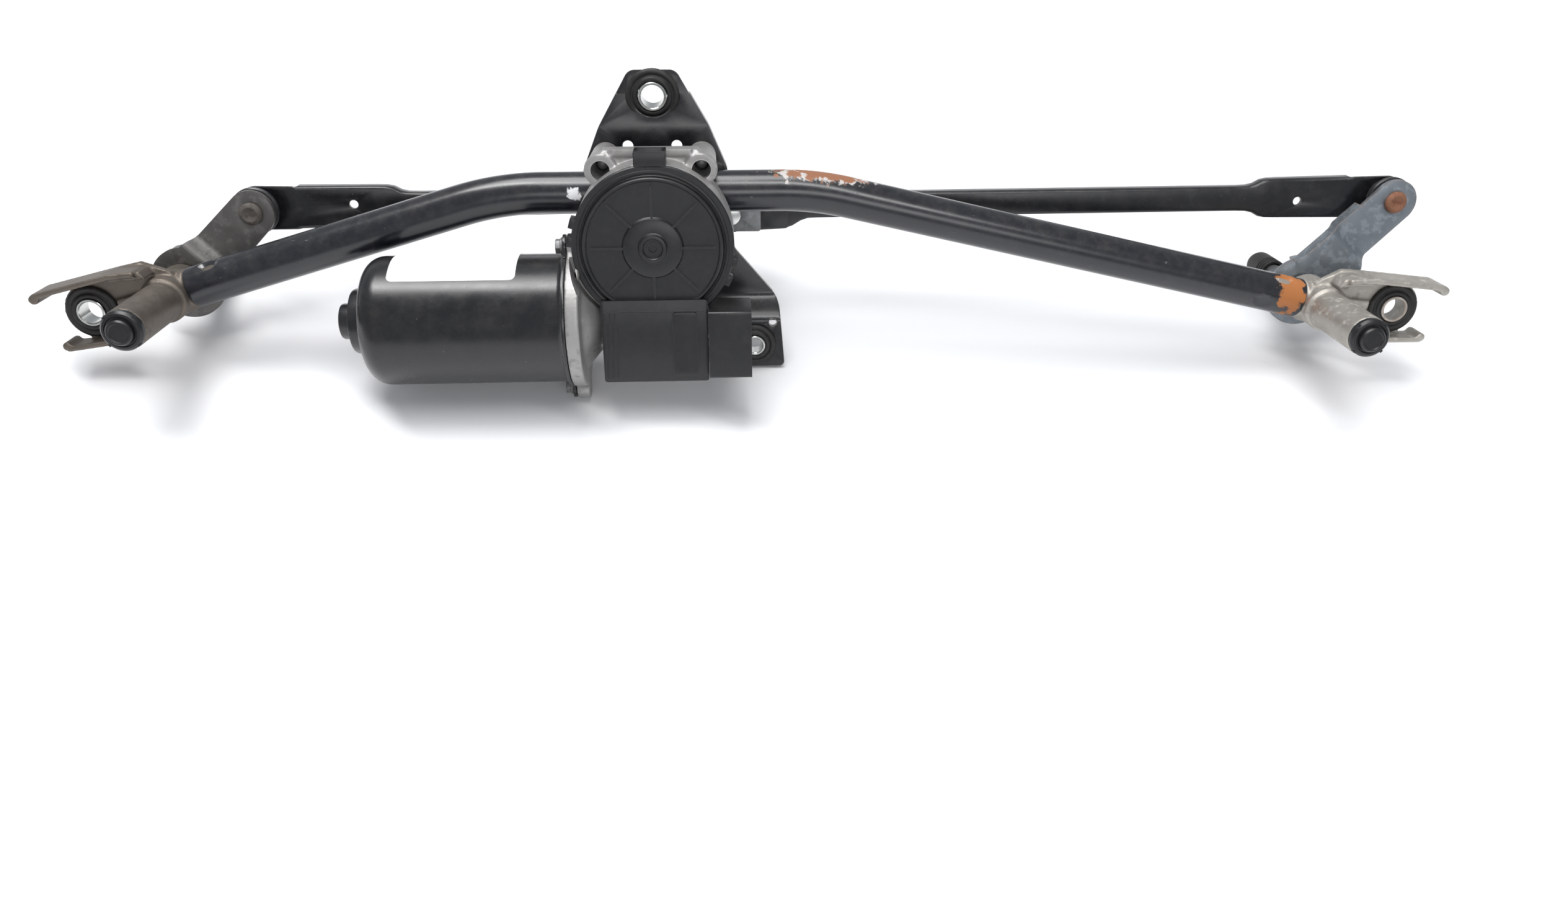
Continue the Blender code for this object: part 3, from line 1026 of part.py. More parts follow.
def link(side):
    """A pressed channel with a moulded cup in each end."""
    on = f"{side.name}_link_axis"
    tag = side.name
    length, angle = link_line(side)
    outline = link_outline(side)
    place = (side.pin[0], 0, side.pin[1])
    across = Matrix.Rotation(-angle, 4, "Y")

    def edge_sheet(name, start, depth, **where):
        mesh = outline_mesh(name, [link_profile(side, start, depth)], 0.040)
        return put(name, mesh, place, across.to_euler(), on=on, **where)

    socket_hole = 0.0105
    holes = [circle((0, 0), socket_hole), circle((length, 0), socket_hole)]
    holes.append(circle((LINK_HOLE_REACH, 0.0015), LINK_HOLE_R, 12))
    loops = [swing(loop, angle, side.pin) for loop in (outline, *holes)]
    rod = edge_sheet(f"{tag}_link_rod", 0, LINK_WALL, finish=BLACK_STEEL)
    keep(rod, plate(f"{tag}_link_outline", loops, 0.0, 0.080, on=on))
    wide, slim = LINK_END_HALF, LINK_MID_HALF
    for sign in (1, -1):
        edge = [(0.022, sign * wide), (LINK_END_LENGTH, sign * wide), (LINK_END_LENGTH + 0.012, sign * slim)]
        edge += [(length - 0.045, sign * slim), (length - 0.034, sign * (wide + 0.0005))]
        strip = swing(ribbon(edge, -sign * LINK_WALL), angle, side.pin)
        fold = edge_sheet(f"{tag}_link_fold_{sign}", FOLD, LINK_FLANGE)
        keep(fold, plate(f"{tag}_link_fold_strip_{sign}", [strip], 0.0, 0.080, on=on))
        join(rod, fold)
    shift = LEFT_LINK_SHIFT if side is LEFT else 0.0
    ball_socket(f"{tag}_link_lever_socket", side.pin, SOCKET_FRONT, on)
    ball_socket(f"{tag}_link_crank_socket", CRANK_PIN, SOCKET_FRONT + shift, on)


def outer_stud():
    """The second ball, on the back of the right link's cup, which the left link rides on."""
    back = SOCKET_FRONT + 0.0122 + GAP
    centre = SOCKET_FRONT + LEFT_LINK_SHIFT - 0.0005 - BALL_R
    profile = [*ball_points(BALL_R, centre, 0, math.radians(80), 4), (0.0060, back + 0.0008)]
    profile += [(0.0060, back), (0, back)]
    turned("right_link_outer_ball_stud", "Y", (CRANK_PIN[0], 0, CRANK_PIN[1]), profile,
           on="right_link_axis", finish=BRIGHT)


def close_seams():
    """Merges the doubled points that a Boolean leaves where three faces meet."""
    for obj in PARTS.objects:
        if any(step.type == "BOOLEAN" for step in obj.modifiers):
            seam = obj.modifiers.new("Close seams", "WELD")
            seam.merge_threshold = 0.00001


# ---- resting pose ---------------------------------------------------------------------------

def corners_of(names):
    """The evaluated points of some objects, in the gear frame."""
    bpy.context.view_layer.update()
    graph = bpy.context.evaluated_depsgraph_get()
    points = []
    for name in names:
        obj = bpy.data.objects[name].evaluated_get(graph)
        mesh = obj.to_mesh()
        points += [obj.matrix_world @ vertex.co for vertex in mesh.vertices]
        obj.to_mesh_clear()
    return points


def lay_down():
    """Tips the assembly on to its three feet and centres its base on the world's origin."""
    feet = [corners_of([name]) for name in ("left_arm_end_cap", "right_arm_end_cap", "gear_housing")]
    up = Vector((0, 0, 1))
    for _ in range(6):
        left, right, front = (min(points, key=up.dot) for points in feet)
        up = (right - left).cross(left - front).normalized()
        up = up if up.z > 0 else -up
    turn = up.rotation_difference(Vector((0, 0, 1))).to_matrix().to_4x4()
    named = [obj.name for obj in PARTS.objects if obj.type == "MESH"]
    points = [turn @ point for point in corners_of(named)]
    middle = [(min(p[i] for p in points) + max(p[i] for p in points)) / 2 for i in range(2)]
    bottom = min(p.z for p in points)
    AXES["assembly"].matrix_world = Matrix.Translation((-middle[0], -middle[1], -bottom)) @ turn


def main():
    axis_empty("assembly", (0, 0, 0))
    axis_empty("crank_axis", (0, 0, 0))
    axis_empty("armature_axis", (0, MOTOR_Y, MOTOR_Z))
    for side in SIDES:
        axis_empty(f"{side.name}_spindle_axis", (side.pivot[0], 0, side.pivot[1]))
        axis_empty(f"{side.name}_link_axis", (side.pin[0], 0, side.pin[1]))
    frame_tube()
    motor_bracket()
    grommets()
    gear_housing()
    bracket_bolts()
    motor_can()
    motor_screws()
    motor_inside()
    armature()
    output_train()
    crank()
    gear_cover()
    connector()
    for side in SIDES:
        pivot_housing(side)
        spindle(side)
        lever(side)
        lever_stud(side)
        link(side)
    outer_stud()
    close_seams()
    lay_down()


main()
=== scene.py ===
import json
import math

import bmesh
import bpy
from mathutils import Matrix, Vector

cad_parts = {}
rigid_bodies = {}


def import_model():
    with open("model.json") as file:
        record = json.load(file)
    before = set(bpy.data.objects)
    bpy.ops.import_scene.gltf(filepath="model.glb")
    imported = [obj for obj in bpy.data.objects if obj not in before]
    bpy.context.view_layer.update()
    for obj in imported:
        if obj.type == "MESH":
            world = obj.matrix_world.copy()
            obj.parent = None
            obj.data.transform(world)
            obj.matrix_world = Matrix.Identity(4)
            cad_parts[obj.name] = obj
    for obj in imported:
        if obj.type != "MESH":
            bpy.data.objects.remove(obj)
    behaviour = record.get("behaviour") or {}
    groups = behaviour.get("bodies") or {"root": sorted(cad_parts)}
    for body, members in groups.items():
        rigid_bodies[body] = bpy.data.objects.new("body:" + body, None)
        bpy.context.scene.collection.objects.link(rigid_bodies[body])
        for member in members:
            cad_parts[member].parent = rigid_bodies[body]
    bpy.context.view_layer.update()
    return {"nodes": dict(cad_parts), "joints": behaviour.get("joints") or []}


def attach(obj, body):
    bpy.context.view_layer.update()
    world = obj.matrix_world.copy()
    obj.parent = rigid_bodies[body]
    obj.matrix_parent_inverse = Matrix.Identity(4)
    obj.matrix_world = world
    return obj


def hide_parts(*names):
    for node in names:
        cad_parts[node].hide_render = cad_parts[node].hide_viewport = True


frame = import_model()

# Shapes are drawn in millimetres in the gear frame: its origin is on the crank axis at the
# bracket's front face, X runs along the motor, Y runs back along the crank axis, Z runs up
# the bracket. settle() puts each finished piece in its place on the wiper frame.
MM = 0.001
JOINTS = {joint["name"]: joint for joint in frame["joints"]}
ALONG_MOTOR = Vector(JOINTS["motor_spin"]["axis"]).normalized()
BACKWARDS = -Vector(JOINTS["crank_turn"]["axis"]).normalized()
UPWARDS = ALONG_MOTOR.cross(BACKWARDS)
GEAR = Matrix((ALONG_MOTOR, BACKWARDS, UPWARDS)).transposed().to_4x4()
GEAR.translation = Vector(JOINTS["crank_turn"]["pos_m"])
TO_ROW = GEAR @ Matrix.Scale(MM, 4)
TO_GEAR = TO_ROW.inverted()

ROUND = 48                          # sides of a round piece
WIDE = 96                           # sides of the widest round pieces
X, Y, Z = Vector((1, 0, 0)), Vector((0, 1, 0)), Vector((0, 0, 1))


def joint_spot(name):
    """A joint's place in the gear frame's X and Z."""
    place = TO_GEAR @ Vector(JOINTS[name]["pos_m"])
    return place.x, place.z


# ---- drawing with the modelling tools ------------------------------------------------------

def begin(name):
    """A new piece with nothing in it yet, in edit mode."""
    bpy.ops.object.select_all(action="DESELECT")
    bpy.ops.mesh.primitive_plane_add(size=1)
    piece = bpy.context.object
    piece.name = name
    piece.data.name = name
    bpy.ops.object.mode_set(mode="EDIT")
    bpy.ops.mesh.delete(type="VERT")
    return piece


def draw_line(points):
    """A chain of edges, drawn by extruding one vertex after another. It stays selected."""
    bpy.ops.mesh.select_all(action="DESELECT")
    bpy.ops.mesh.primitive_plane_add(size=1, location=points[0])
    bpy.ops.mesh.merge(type="CENTER")
    for before, here in zip(points, points[1:]):
        step = Vector(here) - Vector(before)
        bpy.ops.mesh.extrude_vertices_move(TRANSFORM_OT_translate={"value": step})
    bpy.ops.mesh.select_linked()


def weld(close=0.002):
    bpy.ops.mesh.remove_doubles(threshold=close)


def add_turned(place, axis, profile, sides=ROUND):
    """Spins a profile of (radius, distance along the axis) points round an axis."""
    side = X if axis == Y else Z
    place = Vector(place)
    closed = profile if profile[0][0] < 1e-6 else profile + profile[:1]
    draw_line([place + side * radius + axis * along for radius, along in closed])
    bpy.ops.mesh.spin(steps=sides, angle=2 * math.pi, center=place, axis=axis)
    bpy.ops.mesh.select_linked()
    weld()
    bpy.ops.mesh.normals_make_consistent(inside=False)


def add_prism(loops, front, back, axis=Y):
    """A flat shape of one thickness, from an outline and its holes in the plane across an axis."""
    bpy.ops.mesh.select_all(action="DESELECT")
    bpy.ops.mesh.hide(unselected=True)
    for loop in loops:
        if axis == Y:
            points = [Vector((a, front, b)) for a, b in loop]
        else:
            points = [Vector((front, a, b)) for a, b in loop]
        draw_line(points + points[:1])
    bpy.ops.mesh.select_all(action="SELECT")
    weld()
    bpy.ops.mesh.fill(use_beauty=True)
    bpy.ops.mesh.extrude_region_move(TRANSFORM_OT_translate={"value": axis * (back - front)})
    bpy.ops.mesh.select_all(action="SELECT")
    bpy.ops.mesh.normals_make_consistent(inside=False)
    bpy.ops.mesh.reveal(select=False)


def add_box(low, high):
    low, high = Vector(low), Vector(high)
    bpy.ops.mesh.select_all(action="DESELECT")
    bpy.ops.mesh.primitive_cube_add(size=1, location=(low + high) / 2, scale=high - low)


def add_bar(start, end, radius, end_radius=None, sides=ROUND):
    """A round or tapered bar between two points."""
    start, end = Vector(start), Vector(end)
    far = radius if end_radius is None else end_radius
    turn = (end - start).to_track_quat("Z", "Y").to_euler()
    bpy.ops.mesh.select_all(action="DESELECT")
    bpy.ops.mesh.primitive_cone_add(vertices=sides, radius1=radius, radius2=far, depth=(end - start).length,
                                    location=(start + end) / 2, rotation=turn)


def end_drawing():
    if bpy.context.mode != "OBJECT":
        bpy.ops.object.mode_set(mode="OBJECT")


def modify(piece, kind, **values):
    """Adds a modifier with these values and applies it."""
    end_drawing()
    bpy.ops.object.select_all(action="DESELECT")
    piece.select_set(True)
    bpy.context.view_layer.objects.active = piece
    step = piece.modifiers.new(kind.title(), kind)
    for name, value in values.items():
        setattr(step, name, value)
    bpy.ops.object.modifier_apply(modifier=step.name)


def round_edges(piece, width, segments=2, angle=32):
    modify(piece, "BEVEL", width=width, segments=segments, limit_method="ANGLE",
           angle_limit=math.radians(angle),
           use_clamp_overlap=True, harden_normals=False)


def cut_away(piece, draw):
    """Cuts from a piece what draw() draws."""
    cutter = begin("cutter")
    draw()
    modify(piece, "BOOLEAN", operation="DIFFERENCE", object=cutter, solver="EXACT")
    bpy.data.objects.remove(cutter)


def cast(piece, grain, passes=4):
    """Melts the drawn shapes into one casting with soft corners."""
    modify(piece, "REMESH", mode="VOXEL", voxel_size=grain)
    modify(piece, "SMOOTH", factor=0.5, iterations=passes)


def settle(piece, finish, body, slot, *nodes, smooth=30):
    """Puts a finished piece on the wiper frame, with its finish, body and replaced nodes. Its slot is not
    used.
    """
    end_drawing()
    bpy.ops.object.select_all(action="DESELECT")
    piece.select_set(True)
    bpy.context.view_layer.objects.active = piece
    piece.data.transform(TO_ROW)
    bpy.ops.object.shade_smooth_by_angle(angle=math.radians(smooth))
    piece.data.materials.clear()
    piece.data.materials.append(finish)
    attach(piece, body)
    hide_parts(*nodes)
    return piece


# ---- outlines ------------------------------------------------------------------------------

def arc(centre, radius, start, end, steps):
    """Points on an arc, with its angles in degrees from the outline's first axis."""
    turns = [math.radians(start + (end - start) * i / steps) for i in range(steps + 1)]
    return [(centre[0] + radius * math.cos(a), centre[1] + radius * math.sin(a)) for a in turns]


def circle(centre, radius, sides=ROUND):
    return arc(centre, radius, 0, 360 * (1 - 1 / sides), sides - 1)


def rounded(corners, steps=7):
    """A closed outline from (x, y, radius) corners."""
    points = []
    for i, (x, y, radius) in enumerate(corners):
        here = Vector((x, y))
        if radius == 0:
            points.append((x, y))
            continue
        back = (Vector(corners[i - 1][:2]) - here).normalized()
        on = (Vector(corners[(i + 1) % len(corners)][:2]) - here).normalized()
        half = back.angle(on) / 2
        centre = here + (back + on).normalized() * radius / math.sin(half)
        first = here + back * radius / math.tan(half) - centre
        last = here + on * radius / math.tan(half) - centre
        start = math.degrees(math.atan2(first.y, first.x))
        sweep = (math.degrees(math.atan2(last.y, last.x)) - start + 180) % 360 - 180
        points += arc(centre, radius, start, start + sweep, steps)
    return points


def box_outline(left, right, bottom, top, radius):
    return rounded([(x, y, radius) for x, y in ((left, bottom), (right, bottom), (right, top), (left, top))])


def swing(points, degrees, origin=(0, 0)):
    """Outline points turned about (0, 0) and then moved to an origin."""
    turn = Matrix.Rotation(math.radians(degrees), 2)
    return [tuple(turn @ Vector(point) + Vector(origin)) for point in points]


def smoothstep(low, high, value):
    share = max(0.0, min(1.0, (value - low) / (high - low)))
    return share * share * (3 - 2 * share)


# ---- finishes ------------------------------------------------------------------------------

class Patch:
    """The nodes of one group or material, with a short way to add and join them."""

    def __init__(self, tree):
        self.tree = tree

    def add(self, kind, values=None, **settings):
        node = self.tree.nodes.new(kind)
        for name, value in settings.items():
            setattr(node, name, value)
        for name, value in (values or {}).items():
            if isinstance(value, bpy.types.NodeSocket):
                self.tree.links.new(value, node.inputs[name])
            else:
                node.inputs[name].default_value = value
        return node

    def mix(self, values, **settings):
        """Blends the colours in sockets 6 and 7 by the factor in socket 0."""
        return self.add("ShaderNodeMix", values, data_type="RGBA", **settings).outputs[2]

    def math(self, operation, first, second=0.0, clamp=False):
        return self.add("ShaderNodeMath", {0: first, 1: second}, operation=operation,
                        use_clamp=clamp).outputs[0]

    def ramp(self, value, low, high):
        """A smooth step from low to high."""
        values = {"Value": value, "From Min": low, "From Max": high}
        return self.add("ShaderNodeMapRange", values, interpolation_type="SMOOTHSTEP").outputs[0]

    def noise(self, place, scale, detail=6.0, roughness=0.6):
        values = {"Vector": place, "Scale": scale, "Detail": detail, "Roughness": roughness}
        return self.add("ShaderNodeTexNoise", values).outputs["Fac"]

    def place(self):
        return self.add("ShaderNodeTexCoord").outputs["Object"]


def effect(name, inputs, outputs):
    """An empty effect group with named values in and out."""
    tree = bpy.data.node_groups.new(name, "ShaderNodeTree")
    for label, kind, value in inputs:
        socket = tree.interface.new_socket(label, in_out="INPUT", socket_type=kind)
        socket.default_value = value
    for label, kind in outputs:
        tree.interface.new_socket(label, in_out="OUTPUT", socket_type=kind)
    patch = Patch(tree)
    return patch, patch.add("NodeGroupInput").outputs, patch.add("NodeGroupOutput").inputs


FLOAT, VECTOR = "NodeSocketFloat", "NodeSocketVector"


def edge_wear_effect():
    """Where corners are rubbed: the rounded normal leaves the true one there."""
    patch, given, out = effect("edge wear", [("Width", FLOAT, 0.0008), ("Scale", FLOAT, 300.0),
                                             ("Amount", FLOAT, 0.5)], [("Mask", FLOAT)])
    soft = patch.add("ShaderNodeBevel", {"Radius": given["Width"]}, samples=4).outputs["Normal"]
    true = patch.add("ShaderNodeNewGeometry").outputs["Normal"]
    alike = patch.add("ShaderNodeVectorMath", {0: soft, 1: true}, operation="DOT_PRODUCT").outputs["Value"]
    turned = patch.math("SUBTRACT", 1.0, alike)
    ragged = patch.noise(patch.place(), given["Scale"])
    worn = patch.math("ADD", patch.math("MULTIPLY", turned, 3.0), patch.math("MULTIPLY", ragged, 0.9))
    level = patch.math("SUBTRACT", 1.15, patch.math("MULTIPLY", given["Amount"], 0.6))
    patch.tree.links.new(patch.math("MULTIPLY", patch.math("SUBTRACT", worn, level), 5.0, clamp=True),
                         out["Mask"])
    return patch.tree


def patches_effect():
    """Ragged patches that cover a share of the surface."""
    patch, given, out = effect("patches", [("Scale", FLOAT, 60.0), ("Cover", FLOAT, 0.3),
                                           ("Softness", FLOAT, 0.05),
                                           ("Stretch", VECTOR, (1.0, 1.0, 1.0))], [("Mask", FLOAT)])
    place = patch.add("ShaderNodeVectorMath", {0: patch.place(), 1: given["Stretch"]},
                      operation="MULTIPLY").outputs[0]
    found = patch.noise(place, given["Scale"], 8.0, 0.65)
    level = patch.math("SUBTRACT", 0.72, patch.math("MULTIPLY", given["Cover"], 0.44))
    high = patch.math("ADD", level, given["Softness"])
    patch.tree.links.new(patch.ramp(found, level, high), out["Mask"])
    return patch.tree


def spot_effect():
    """One ragged spot round a place."""
    patch, given, out = effect("spot", [("Place", VECTOR, (0.0, 0.0, 0.0)),
                                        ("Size", VECTOR, (0.01, 0.01, 0.01)),
                                        ("Ragged", FLOAT, 0.5), ("Scale", FLOAT, 300.0)], [("Mask", FLOAT)])
    place = patch.place()
    off = patch.add("ShaderNodeVectorMath", {0: place, 1: given["Place"]}, operation="SUBTRACT").outputs[0]
    share = patch.add("ShaderNodeVectorMath", {0: off, 1: given["Size"]}, operation="DIVIDE").outputs[0]
    far = patch.add("ShaderNodeVectorMath", {0: share}, operation="LENGTH").outputs["Value"]
    ragged = patch.math("MULTIPLY", patch.math("SUBTRACT", patch.noise(place, given["Scale"]), 0.5),
                        given["Ragged"])
    near = patch.math("SUBTRACT", 1.0, patch.math("ADD", far, patch.math("MULTIPLY", ragged, 4.0)))
    patch.tree.links.new(patch.math("MULTIPLY", near, 6.0, clamp=True), out["Mask"])
    return patch.tree


def dust_effect():
    """Dust that settles where a surface faces up."""
    patch, given, out = effect("dust", [("Amount", FLOAT, 0.3), ("Scale", FLOAT, 120.0)], [("Mask", FLOAT)])
    normal = patch.add("ShaderNodeNewGeometry").outputs["Normal"]
    up = patch.add("ShaderNodeSeparateXYZ", {0: normal}).outputs["Z"]
    cloud = patch.noise(patch.place(), given["Scale"], 9.0, 0.7)
    laid = patch.math("MULTIPLY", patch.ramp(up, -0.3, 1.0), patch.ramp(cloud, 0.35, 0.75))
    patch.tree.links.new(patch.math("MULTIPLY", laid, given["Amount"], clamp=True), out["Mask"])
    return patch.tree


def grain_effect():
    """A fine even grain with a coarser swell under it."""
    patch, given, out = effect("grain", [("Scale", FLOAT, 2000.0), ("Swell", FLOAT, 0.3)],
                               [("Height", FLOAT)])
    place = patch.place()
    fine = patch.noise(place, given["Scale"], 3.0, 0.5)
    coarse = patch.noise(place, patch.math("MULTIPLY", given["Scale"], 0.08), 4.0, 0.6)
    patch.tree.links.new(patch.math("ADD", fine, patch.math("MULTIPLY", coarse, given["Swell"])),
                         out["Height"])
    return patch.tree


EFFECTS = {"edge wear": edge_wear_effect(), "patches": patches_effect(), "spot": spot_effect(),
           "dust": dust_effect(), "grain": grain_effect()}


def layer(kind, colour, roughness, metallic=0.0, strength=1.0, **values):
    """A layer of a finish: which effect masks it, and what it looks like there."""
    named = {name.title(): value for name, value in values.items()}
    return kind, named, colour, roughness, metallic, strength


def finish(name, colour, roughness, metallic, layers, grain=2000.0, depth=0.02, swell=0.3, coat=0.0):
    """A painted, moulded or metal finish: a base, ragged layers over it and a grain that feels rough."""
    material = bpy.data.materials.new(name)
    material.use_nodes = True
    patch = Patch(material.node_tree)
    shader = patch.tree.nodes["Principled BSDF"]
    shader.inputs["Coat Weight"].default_value = coat
    shader.inputs["Coat Roughness"].default_value = 0.25
    cloud = patch.noise(patch.place(), 45.0, 7.0, 0.65)
    shade = patch.add("ShaderNodeMapRange", {"Value": cloud, "To Min": 0.72, "To Max": 1.28}).outputs[0]
    hue = patch.mix({0: 1.0, 6: (*colour, 1.0), 7: shade}, blend_type="MULTIPLY")
    rough = patch.add("ShaderNodeMapRange", {"Value": cloud, "To Min": roughness - 0.09,
                                             "To Max": roughness + 0.09}).outputs[0]
    metal = None
    for kind, named, tint, layer_rough, layer_metal, strength in layers:
        group = patch.add("ShaderNodeGroup", node_tree=EFFECTS[kind])
        for label, value in named.items():
            group.inputs[label].default_value = value
        mask = patch.math("MULTIPLY", group.outputs["Mask"], strength)
        hue = patch.mix({0: mask, 6: hue, 7: (*tint, 1.0)})
        rough = patch.add("ShaderNodeMix", {0: mask, 2: rough, 3: layer_rough}).outputs[0]
        if metal is not None or layer_metal != metallic:
            metal = patch.add("ShaderNodeMix", {0: mask, 2: metallic if metal is None else metal,
                                                3: layer_metal}).outputs[0]
    patch.tree.links.new(hue, shader.inputs["Base Color"])
    patch.tree.links.new(rough, shader.inputs["Roughness"])
    if metal is None:
        shader.inputs["Metallic"].default_value = metallic
    else:
        patch.tree.links.new(metal, shader.inputs["Metallic"])
    group = patch.add("ShaderNodeGroup", node_tree=EFFECTS["grain"])
    group.inputs["Scale"].default_value = grain
    group.inputs["Swell"].default_value = swell
    bump = patch.add("ShaderNodeBump", {"Strength": 1.0, "Distance": depth * MM,
                                        "Height": group.outputs["Height"]})
    patch.tree.links.new(bump.outputs["Normal"], shader.inputs["Normal"])
    return material


def on_row(x, y, z):
    """A place in the gear frame as a place on the wiper frame, in metres."""
    return tuple(TO_ROW @ Vector((x, y, z)))


BARE = (0.42, 0.41, 0.40)
RUST = (0.19, 0.075, 0.032)
DRY_DUST = (0.30, 0.27, 0.23)
WHITE_RUST = (0.62, 0.61, 0.58)
GRIME = (0.035, 0.030, 0.026)


def tube_paint():
    """Blue-black paint with scratches, a white chip by the gearbox and rust on the right bend."""
    bend = on_row(96, -14, 30)
    return finish("tube_paint", (0.0060, 0.0072, 0.0110), 0.24, 0.0, [
        layer("patches", (0.022, 0.026, 0.036), 0.40, scale=120.0, cover=0.35, softness=0.20, strength=0.45),
        layer("patches", (0.15, 0.16, 0.18), 0.5, scale=330.0, cover=0.10, softness=0.02,
              stretch=(0.25, 1.0, 1.0),
              strength=0.55),
        layer("dust", DRY_DUST, 0.75, amount=0.07, scale=160.0),
        layer("spot", (0.48, 0.45, 0.43), 0.7, place=bend, size=(0.033, 0.009, 0.009), ragged=0.55,
              scale=190.0),
        layer("spot", (0.26, 0.11, 0.055), 0.85, place=bend, size=(0.029, 0.008, 0.008), ragged=0.60,
              scale=210.0),
        layer("spot", (0.75, 0.75, 0.76), 0.6, place=on_row(-42, -21, 20), size=(0.0042, 0.004, 0.0034),
              ragged=0.5,
              scale=420.0),
        layer("spot", (0.36, 0.13, 0.035), 0.9, place=on_row(355, -16, -42), size=(0.009, 0.012, 0.014),
              ragged=0.5,
              scale=260.0),
        layer("edge wear", BARE, 0.5, 0.6, width=0.0006, scale=500.0, amount=0.25),
    ], grain=900.0, depth=0.018, swell=0.8, coat=0.35)


def can_paint():
    """Satin black, scuffed and stained along the motor."""
    return finish("motor_can_paint", (0.0050, 0.0056, 0.0070), 0.28, 0.0, [
        layer("patches", (0.020, 0.020, 0.021), 0.46, scale=60.0, cover=0.45, softness=0.25, strength=0.5),
        layer("patches", (0.17, 0.15, 0.13), 0.65, scale=420.0, cover=0.08, softness=0.02,
              stretch=(1.0, 0.35, 1.0),
              strength=0.6),
        layer("patches", RUST, 0.85, scale=480.0, cover=0.02, softness=0.02, strength=0.8),
        layer("dust", DRY_DUST, 0.8, amount=0.05, scale=90.0),
        layer("edge wear", BARE, 0.45, 0.7, width=0.0008, scale=420.0, amount=0.20),
    ], grain=1200.0, depth=0.015, swell=0.9, coat=0.2)


def black_steel():
    """Black coated sheet steel, rubbed bright along its edges."""
    return finish("black_sheet_steel", (0.0060, 0.0066, 0.0084), 0.28, 0.1, [
        layer("patches", (0.024, 0.025, 0.029), 0.45, scale=90.0, cover=0.38, softness=0.20, strength=0.5),
        layer("patches", (0.17, 0.165, 0.16), 0.6, scale=620.0, cover=0.07, softness=0.02, strength=0.6),
        layer("dust", DRY_DUST, 0.8, amount=0.06, scale=140.0),
        layer("edge wear", (0.40, 0.39, 0.37), 0.45, 0.7, width=0.0009, scale=350.0, amount=0.45),
    ], grain=1100.0, depth=0.02, swell=0.8, coat=0.2)


def black_plastic():
    """Fine-grained moulded plastic with dust where it faces up."""
    return finish("moulded_black_plastic", (0.0042, 0.0046, 0.0056), 0.38, 0.0, [
        layer("patches", (0.014, 0.014, 0.016), 0.50, scale=70.0, cover=0.38, softness=0.25, strength=0.5),
        layer("dust", DRY_DUST, 0.85, amount=0.03, scale=240.0),
        layer("edge wear", (0.055, 0.055, 0.060), 0.35, width=0.0005, scale=600.0, amount=0.40),
    ], grain=2600.0, depth=0.012, swell=0.15)


def dusty_rubber():
    return finish("dusty_rubber", (0.0075, 0.0074, 0.0076), 0.55, 0.0, [
        layer("patches", (0.030, 0.027, 0.024), 0.75, scale=150.0, cover=0.45, softness=0.2, strength=0.6),
        layer("dust", (0.21, 0.18, 0.15), 0.9, amount=0.10, scale=300.0),
    ], grain=1500.0, depth=0.03, swell=0.6)


def cast_alloy(name, colour, corroded, stain, metallic=0.75):
    """Sand-rough cast metal with white corrosion and old dirt."""
    return finish(name, colour, 0.50, metallic, [
        layer("patches", stain, 0.8, 0.1, scale=110.0, cover=0.45, softness=0.24, strength=0.75),
        layer("patches", WHITE_RUST, 0.85, 0.0, scale=230.0, cover=corroded, softness=0.24, strength=0.60),
        layer("patches", RUST, 0.9, 0.0, scale=330.0, cover=0.06, softness=0.03, strength=0.6),
        layer("edge wear", (0.62, 0.61, 0.59), 0.35, 0.9, width=0.0010, scale=300.0, amount=0.35),
        layer("dust", DRY_DUST, 0.9, 0.0, amount=0.16, scale=160.0),
    ], grain=700.0, depth=0.07, swell=1.2)


def galvanised(name, colour, stain, rim):
    """Dull zinc-coated steel, mottled and stained, with its cut edges gone brown."""
    return finish(name, colour, 0.46, 0.75, [
        layer("patches", tuple(1.5 * c for c in colour), 0.5, 0.6, scale=170.0, cover=0.50, softness=0.10,
              strength=0.55),
        layer("patches", stain, 0.8, 0.1, scale=95.0, cover=0.30, softness=0.12, strength=0.6),
        layer("patches", RUST, 0.9, 0.0, scale=520.0, cover=0.08, softness=0.03, strength=0.7),
        layer("edge wear", rim, 0.8, 0.1, width=0.0012, scale=260.0, amount=0.75, strength=0.8),
    ], grain=1300.0, depth=0.03, swell=0.8)


def bright_zinc():
    return finish("bright_zinc", (0.62, 0.63, 0.61), 0.24, 1.0, [
        layer("patches", (0.30, 0.28, 0.25), 0.55, 0.6, scale=260.0, cover=0.28, softness=0.10,
              strength=0.6),
        layer("patches", (0.24, 0.12, 0.06), 0.85, 0.0, scale=420.0, cover=0.10, softness=0.03,
              strength=0.7),
    ], grain=1600.0, depth=0.01, swell=0.6)


def old_steel(name, colour, stain):
    """A rivet or bolt head gone brown or red."""
    return finish(name, colour, 0.68, 0.25, [
        layer("patches", stain, 0.9, 0.0, scale=300.0, cover=0.5, softness=0.1, strength=0.75),
        layer("edge wear", (0.34, 0.30, 0.27), 0.5, 0.6, width=0.0007, scale=500.0, amount=0.3),
    ], grain=900.0, depth=0.06, swell=1.0)


def plain(name, colour, roughness, metallic, other, cover=0.35):
    """A quiet finish for the pieces inside: its colour, a second tone in patches and a grain."""
    return finish(name, colour, roughness, metallic, [
        layer("patches", other, min(1.0, roughness + 0.15), metallic, scale=210.0, cover=cover,
              softness=0.15,
              strength=0.6),
    ], grain=1500.0, depth=0.015)


